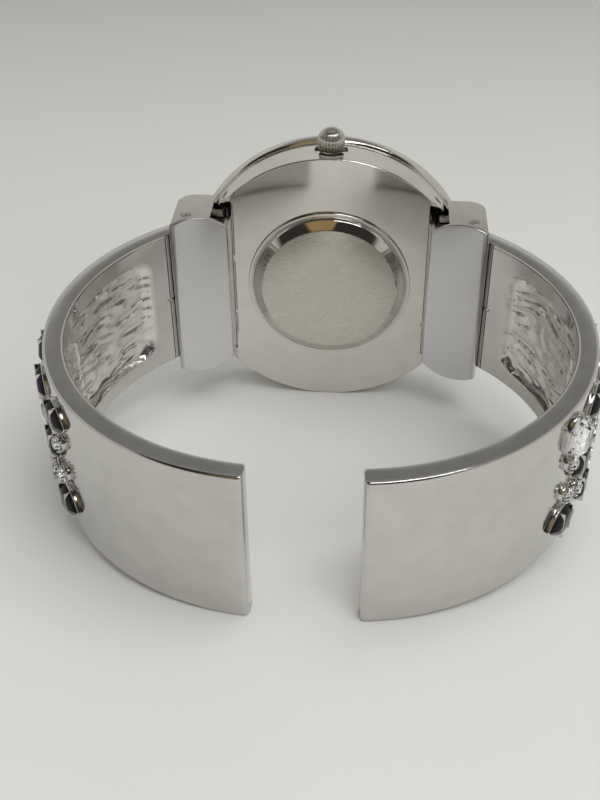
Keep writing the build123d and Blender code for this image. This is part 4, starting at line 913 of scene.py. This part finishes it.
def make_pin(side, name):
    """Hinge pin with a rounded rim and a small centre mark at each end."""
    half = BLOCK_HALF_HEIGHT + PIN_PROUD
    radius = HINGE_PIN_RADIUS - PIN_CLEARANCE
    end = [(radius - fall, half - drop) for fall, drop in PIN_RIM]
    end += [(radius / PIN_MARK_PARTS[0], half), (radius / PIN_MARK_PARTS[1], half - PIN_MARK_DEPTH),
            (PIN_MARK_TIP[0], half - PIN_MARK_TIP[1])]
    profile = [(reach, -height) for reach, height in reversed(end)] + end
    shell = Shell()
    turned(shell, profile, PIN_SIDES, Matrix.Translation((side * pin_place[0], pin_place[1], 0)))
    make_piece(name, shell, name.replace("turned_", ""), [finish["steel_parts"]], WIDE_SHARP_ANGLE)


# Ornament on the outside of the arms

ornament_start = pin_angle - ORNAMENT_DISTANCE / arm_middle
column_turn = COLUMN_STEP / ARM_RADIUS
LEAF_POINTS = 28
VEIN_POINTS = 12
VEIN_PLACE = 0.95
VEIN_WIDTH = 0.14
VEIN_LENGTH_SHARE = 0.86
STONE_SIDES = 16
STONE_PRONGS = 4
OVAL_SIDES = 24
OVAL_COLLET_SIDES = 32
OVAL_PRONGS = 6
PRONG_SIDES = 8
PRONG_WIDTH = 0.34
PRONG_GAP = 0.03
ENAMEL_GAP = 0.14
BACKING_SINK = 0.02
BACKING_STEPS = 48
BACKING_START = 0.5
BACKING_COLUMNS = LEAF_COLUMNS - 1.5

# Wall of a cell: how far in from the leaf's outline, and how far out of the arm
CELL_WALL = ((0, -0.2), (0, WALL_TOP - 0.12), (0.05, WALL_TOP - 0.03), (0.11, WALL_TOP), (0.17, WALL_TOP),
             (0.22, WALL_TOP - 0.03), (0.26, WALL_TOP - 0.12), (0.26, WALL_TOP - 0.3))
# Veins and enamel: share of the outline, and how far out of the arm
VEIN_LEVELS = ((1, WALL_TOP - 0.2), (1, RELIEF - 0.06), (0.98, RELIEF - 0.02))
ENAMEL_LEVELS = ((1, WALL_TOP - 0.25), (1, WALL_TOP), (0.97, WALL_TOP + 0.18), (0.88, WALL_TOP + 0.34),
                 (0.7, RELIEF - 0.09), (0.4, RELIEF - 0.03), (0.12, RELIEF - 0.01))
# Cut of a stone: shares of the outline for its even and its odd points, and of the height
CULET_SHARES = (0.3, 0.3)
GIRDLE_SHARES = (0.98, 0.98)
FACET_SHARES = (0.86, 0.76)
TABLE_SHARES = (0.6, 0.54)
GIRDLE_HEIGHT_SHARE = 0.32
FACET_HEIGHT_SHARE = 0.36
CULET_LIFT = 0.02
GIRDLE_HALF_WIDTH = 0.03
# Setting of a stone: how far outside it, and how far out of the arm
COLLET_LEVELS = ((COLLET_WALL, -0.2), (COLLET_WALL, COLLET_RIM - 0.12), (COLLET_WALL / 2, COLLET_RIM),
                 (0.02, COLLET_RIM - 0.08), (0.02, BACKING_THICKNESS / 2))
# Prongs: share of their width, how far out of the arm, and share of their distance from the middle
PRONG_LEVELS = ((1, 0.2, 1.02), (1, COLLET_HEIGHT + 0.05, 1.0), (0.85, COLLET_HEIGHT + 0.2, 0.96),
                (0.4, COLLET_HEIGHT + 0.27, 0.93))


def on_arm(side, turn, along, height, out):
    """Point on the outside of an arm: along it from an angle, up it, and out of it."""
    return arm_point(side, turn + along / ARM_RADIUS, ARM_RADIUS + out, height)


def leaf_places():
    """Angle and height of each leaf cell: rows along the arm, every second row moved by half a step."""
    places = []
    for row in range(LEAF_ROWS):
        height = (row - (LEAF_ROWS - 1) / 2) * ROW_STEP
        for column in range(LEAF_COLUMNS - row % 2):
            places.append((ornament_start - (column + (1 + row % 2) / 2) * column_turn, height))
    return places


def stone_places():
    """Angle and height of each round stone, in the gaps between the rows of leaf cells."""
    places = []
    for half_column in range(1, 2 * LEAF_COLUMNS):
        nearness = STONE_SETBACK_SHARE if half_column % 2 else 1 - STONE_SETBACK_SHARE
        for level in (1, -1):
            places.append((ornament_start - half_column * column_turn / 2, level * nearness * ROW_STEP))
    return places


def leaf():
    """Pointed leaf outline with bowed sides."""
    return [(LEAF_LENGTH / 2 * cos(turn), LEAF_WIDTH / 2 * sin(turn) * abs(sin(turn)))
            for turn in round_turns(LEAF_POINTS)]


def oval(width, length, count):
    """Oval outline across the arm."""
    return [(width / 2 * cos(turn), length / 2 * sin(turn)) for turn in round_turns(count)]


def scaled(outline, share):
    """Outline drawn smaller about its middle."""
    return [(x * share, y * share) for x, y in outline]


def stack(shell, side, place, levels):
    """Closed shell on the arm through outlines at rising levels."""
    turn, middle = place
    shell.loft([[on_arm(side, turn, x, middle + y, out) for x, y in outline] for outline, out in levels])


def add_cell(shell, side, place):
    """Silver cell: a leaf-shaped wall with a rounded rim, and two thin bars across it."""
    outline = leaf()
    stack(shell, side, place, [(inset(outline, distance), out) for distance, out in CELL_WALL])
    for end in (1, -1):
        bar = oval(VEIN_WIDTH, LEAF_WIDTH * VEIN_LENGTH_SHARE, VEIN_POINTS)
        vein = [(end * (VEIN_PLACE + x), y) for x, y in bar]
        stack(shell, side, place, [(scaled(vein, share), out) for share, out in VEIN_LEVELS])


def add_enamel(shell, side, place):
    """Domed enamel that fills a cell."""
    outline = inset(leaf(), ENAMEL_GAP)
    stack(shell, side, place, [(scaled(outline, share), out) for share, out in ENAMEL_LEVELS])


def add_stone(shell, side, place, width, length, height, count):
    """Brilliant-cut stone: pavilion, girdle, two rows of crown facets and a flat table."""
    base = BACKING_THICKNESS
    girdle = base + height * GIRDLE_HEIGHT_SHARE
    levels = (
        (CULET_SHARES, base + CULET_LIFT),
        (GIRDLE_SHARES, girdle - GIRDLE_HALF_WIDTH),
        (GIRDLE_SHARES, girdle + GIRDLE_HALF_WIDTH),
        (FACET_SHARES, girdle + height * FACET_HEIGHT_SHARE),
        (TABLE_SHARES, base + height),
    )
    rough = list(enumerate(oval(width, length, count)))
    stack(shell, side, place, [
        ([(x * shares[index % 2], y * shares[index % 2]) for index, (x, y) in rough], out)
        for shares, out in levels])


def add_collet(shell, side, place, width, length, count, prongs):
    """Setting round a stone: a wall with a rounded rim, and rounded prongs over the girdle."""
    stack(shell, side, place, [(oval(width + 2 * wide, length + 2 * wide, count), out)
                               for wide, out in COLLET_LEVELS])
    post = oval(PRONG_WIDTH, PRONG_WIDTH, PRONG_SIDES)
    for prong in range(prongs):
        turn = 2 * pi * (prong + 0.5) / prongs
        across = (width / 2 + PRONG_GAP) * cos(turn)
        up = (length / 2 + PRONG_GAP) * sin(turn)
        stack(shell, side, place, [
            ([(x * share + across * lean, y * share + up * lean) for x, y in post], out)
            for share, out, lean in PRONG_LEVELS])


def add_backing(shell, side):
    """Curved plate that carries the ornament."""
    half = (LEAF_ROWS - 1) / 2 * ROW_STEP + LEAF_WIDTH / 4
    thick = BACKING_THICKNESS / 2
    corners = [(-half, -BACKING_SINK), (half, -BACKING_SINK), (half, thick), (-half, thick)]
    section = softened(corners, thick / 2)
    rings = []
    for step in range(BACKING_STEPS + 1):
        turn = ornament_start - (BACKING_START + BACKING_COLUMNS * step / BACKING_STEPS) * column_turn
        rings.append([on_arm(side, turn, 0, height, out) for height, out in section])
    shell.loft(rings)


def make_ornament(side, prefix, leaves, ovals):
    """Silver frame, enamel and stones on one arm."""
    silver = Shell()
    enamel = Shell()
    stones = Shell()
    add_backing(silver, side)
    for place in leaves:
        add_cell(silver, side, place)
        add_enamel(enamel, side, place)
    for place in stone_places():
        add_collet(silver, side, place, 2 * STONE_RADIUS, 2 * STONE_RADIUS, STONE_SIDES, STONE_PRONGS)
        add_stone(stones, side, place, 2 * STONE_RADIUS, 2 * STONE_RADIUS, STONE_HEIGHT, STONE_SIDES)
    crystal = [finish["crystal_clear"]]
    for place in ovals:
        add_collet(silver, side, place, OVAL_WIDTH, OVAL_LENGTH, OVAL_COLLET_SIDES, OVAL_PRONGS)
        large = Shell()
        add_stone(large, side, place, OVAL_WIDTH, OVAL_LENGTH, OVAL_HEIGHT, OVAL_SIDES)
        make_piece("cut_" + prefix + "oval", large, prefix + "oval_crystal", crystal, FACET_SHARP_ANGLE)
    make_piece("cast_" + prefix + "frame", silver, prefix + "ornament_frame", [finish["cast_metal"]],
               WIDE_SHARP_ANGLE)
    make_piece("fired_" + prefix + "enamel", enamel, prefix + "enamel", [finish["black_enamel"]],
               WIDE_SHARP_ANGLE)
    make_piece("cut_" + prefix + "stones", stones, prefix + "crystals", crystal, FACET_SHARP_ANGLE)


make_arm(1, "cast_right_arm", RIGHT_ARM_SEED)
make_arm(-1, "cast_left_arm", LEFT_ARM_SEED)
make_case()
make_bezel()
make_back()
make_crown()
for side, prefix in ((1, "right_"), (-1, "left_")):
    make_cover(side, "bent_" + prefix + "block_cover")
    make_pin(side, "turned_" + prefix + "hinge_pin")
leaves = leaf_places()
make_ornament(-1, "left_", leaves, [])
make_ornament(1, "right_", leaves[:-1], leaves[-1:])


# Camera, lights and surroundings

# Lamps: name, place, target, size, power, and whether polished metal shows them, in metres and watts
LAMPS = (
    ("ceiling", (0.14, -0.13, 0.7), (0, 0, 0), (0.8, 0.6), 3.4, False),
    ("front", (0.24, -0.55, 0.38), (0.02, 0.04, 0), (0.6, 0.3), 2.3, False),
    ("window", (0.22, -0.36, 0.57), (0, 0, 0), (0.42, 0.10), 0.9, True),
)
# Brightness of the room by height above the horizon, from straight down to straight up
ROOM_TONES = ((0.0, 0.30), (0.50, 0.52), (0.70, 0.57), (0.785, 0.64), (0.815, 0.31), (0.85, 0.24),
              (0.93, 0.24), (1.0, 0.36))
ROOM_TINT = (1.0, 0.995, 0.94)
# Patches of the room that differ: direction, inner and outer half angle in degrees, and colour
ROOM_PATCHES = (
    ((-0.08, -0.84, 0.50), 45.0, 53.0, (0.035, 0.033, 0.03)),
    ((-0.17, -0.76, 0.59), 14.5, 17.0, (0.34, 0.24, 0.105)),
)
FLOOR_SIZE = 2.0
FLOOR_COLOUR = (0.62, 0.62, 0.60)
FLOOR_ROUGHNESS = 0.5


def make_camera():
    """Camera at the photograph's viewing angle."""
    looking = (Matrix.Rotation(radians(CAMERA_YAW), 4, "Z") @ Matrix.Rotation(radians(CAMERA_PITCH), 4, "X")
               @ Matrix.Rotation(radians(CAMERA_ROLL), 4, "Y") @ Matrix.Rotation(pi / 2, 4, "X"))
    data = bpy.data.cameras.new("camera")
    data.sensor_width = SENSOR
    data.lens = FOCAL_PIXELS * SENSOR / PICTURE_HEIGHT
    data.clip_start = CLIP_START
    data.clip_end = CLIP_END
    camera = add_object("camera", data)
    camera.matrix_world = Matrix.Translation(PLAN @ Vector(CAMERA_PLACE)) @ plan_turn.to_4x4() @ looking
    bpy.context.scene.camera = camera


def make_lamp(name, place, target, size, power, glossy):
    """Soft rectangular lamp."""
    data = bpy.data.lights.new(name, "AREA")
    data.shape = "RECTANGLE"
    data.size, data.size_y = size
    data.energy = power
    lamp = add_object(name, data)
    lamp.location = place
    lamp.rotation_mode = "QUATERNION"
    lamp.rotation_quaternion = (Vector(target) - Vector(place)).to_track_quat("-Z", "Y")
    lamp.visible_glossy = glossy


def make_world():
    """Pale room that darkens towards its ceiling, with its patches."""
    world = bpy.data.worlds.new("room")
    bpy.context.scene.world = world
    world.use_nodes = True
    tree = world.node_tree
    place = tree.nodes.new("ShaderNodeTexCoord")
    split = tree.nodes.new("ShaderNodeSeparateXYZ")
    lift = tree.nodes.new("ShaderNodeMath")
    lift.operation = "MULTIPLY_ADD"
    lift.inputs[1].default_value = 0.5
    lift.inputs[2].default_value = 0.5
    ramp = tree.nodes.new("ShaderNodeValToRGB")
    tones = ramp.color_ramp.elements
    for index, (share, tone) in enumerate(ROOM_TONES):
        element = tones[index] if index < 2 else tones.new(share)
        element.position = share
        element.color = (*(tone * channel for channel in ROOM_TINT), 1)
    tree.links.new(place.outputs["Generated"], split.inputs["Vector"])
    tree.links.new(split.outputs["Z"], lift.inputs[0])
    tree.links.new(lift.outputs["Value"], ramp.inputs["Fac"])
    shown = ramp.outputs["Color"]
    for towards, inner, outer, tone in ROOM_PATCHES:
        nearness = tree.nodes.new("ShaderNodeVectorMath")
        nearness.operation = "DOT_PRODUCT"
        nearness.inputs[1].default_value = Vector(towards).normalized()
        spread = tree.nodes.new("ShaderNodeMapRange")
        spread.interpolation_type = "SMOOTHSTEP"
        spread.inputs["From Min"].default_value = cos(radians(outer))
        spread.inputs["From Max"].default_value = cos(radians(inner))
        mix = tree.nodes.new("ShaderNodeMix")
        mix.data_type = "RGBA"
        mix.inputs["B"].default_value = (*tone, 1)
        tree.links.new(place.outputs["Generated"], nearness.inputs[0])
        tree.links.new(nearness.outputs["Value"], spread.inputs["Value"])
        tree.links.new(spread.outputs["Result"], mix.inputs["Factor"])
        tree.links.new(shown, mix.inputs["A"])
        shown = mix.outputs["Result"]
    tree.links.new(shown, tree.nodes["Background"].inputs["Color"])


def make_floor():
    """Plain pale floor."""
    half = FLOOR_SIZE / 2
    mesh = bpy.data.meshes.new("floor")
    corners = [(-half, -half, 0), (half, -half, 0), (half, half, 0), (-half, half, 0)]
    mesh.from_pydata(corners, [], [(0, 1, 2, 3)])
    floor = add_object("floor", mesh)
    mesh.materials.append(surface("pale_table", FLOOR_COLOUR, FLOOR_ROUGHNESS, metallic=0.0, scale=20.0,
                                  shade=0.02, bump=0.0))


make_camera()
make_world()
make_floor()
for lamp in LAMPS:
    make_lamp(*lamp)
bpy.context.scene.view_settings.view_transform = "Standard"
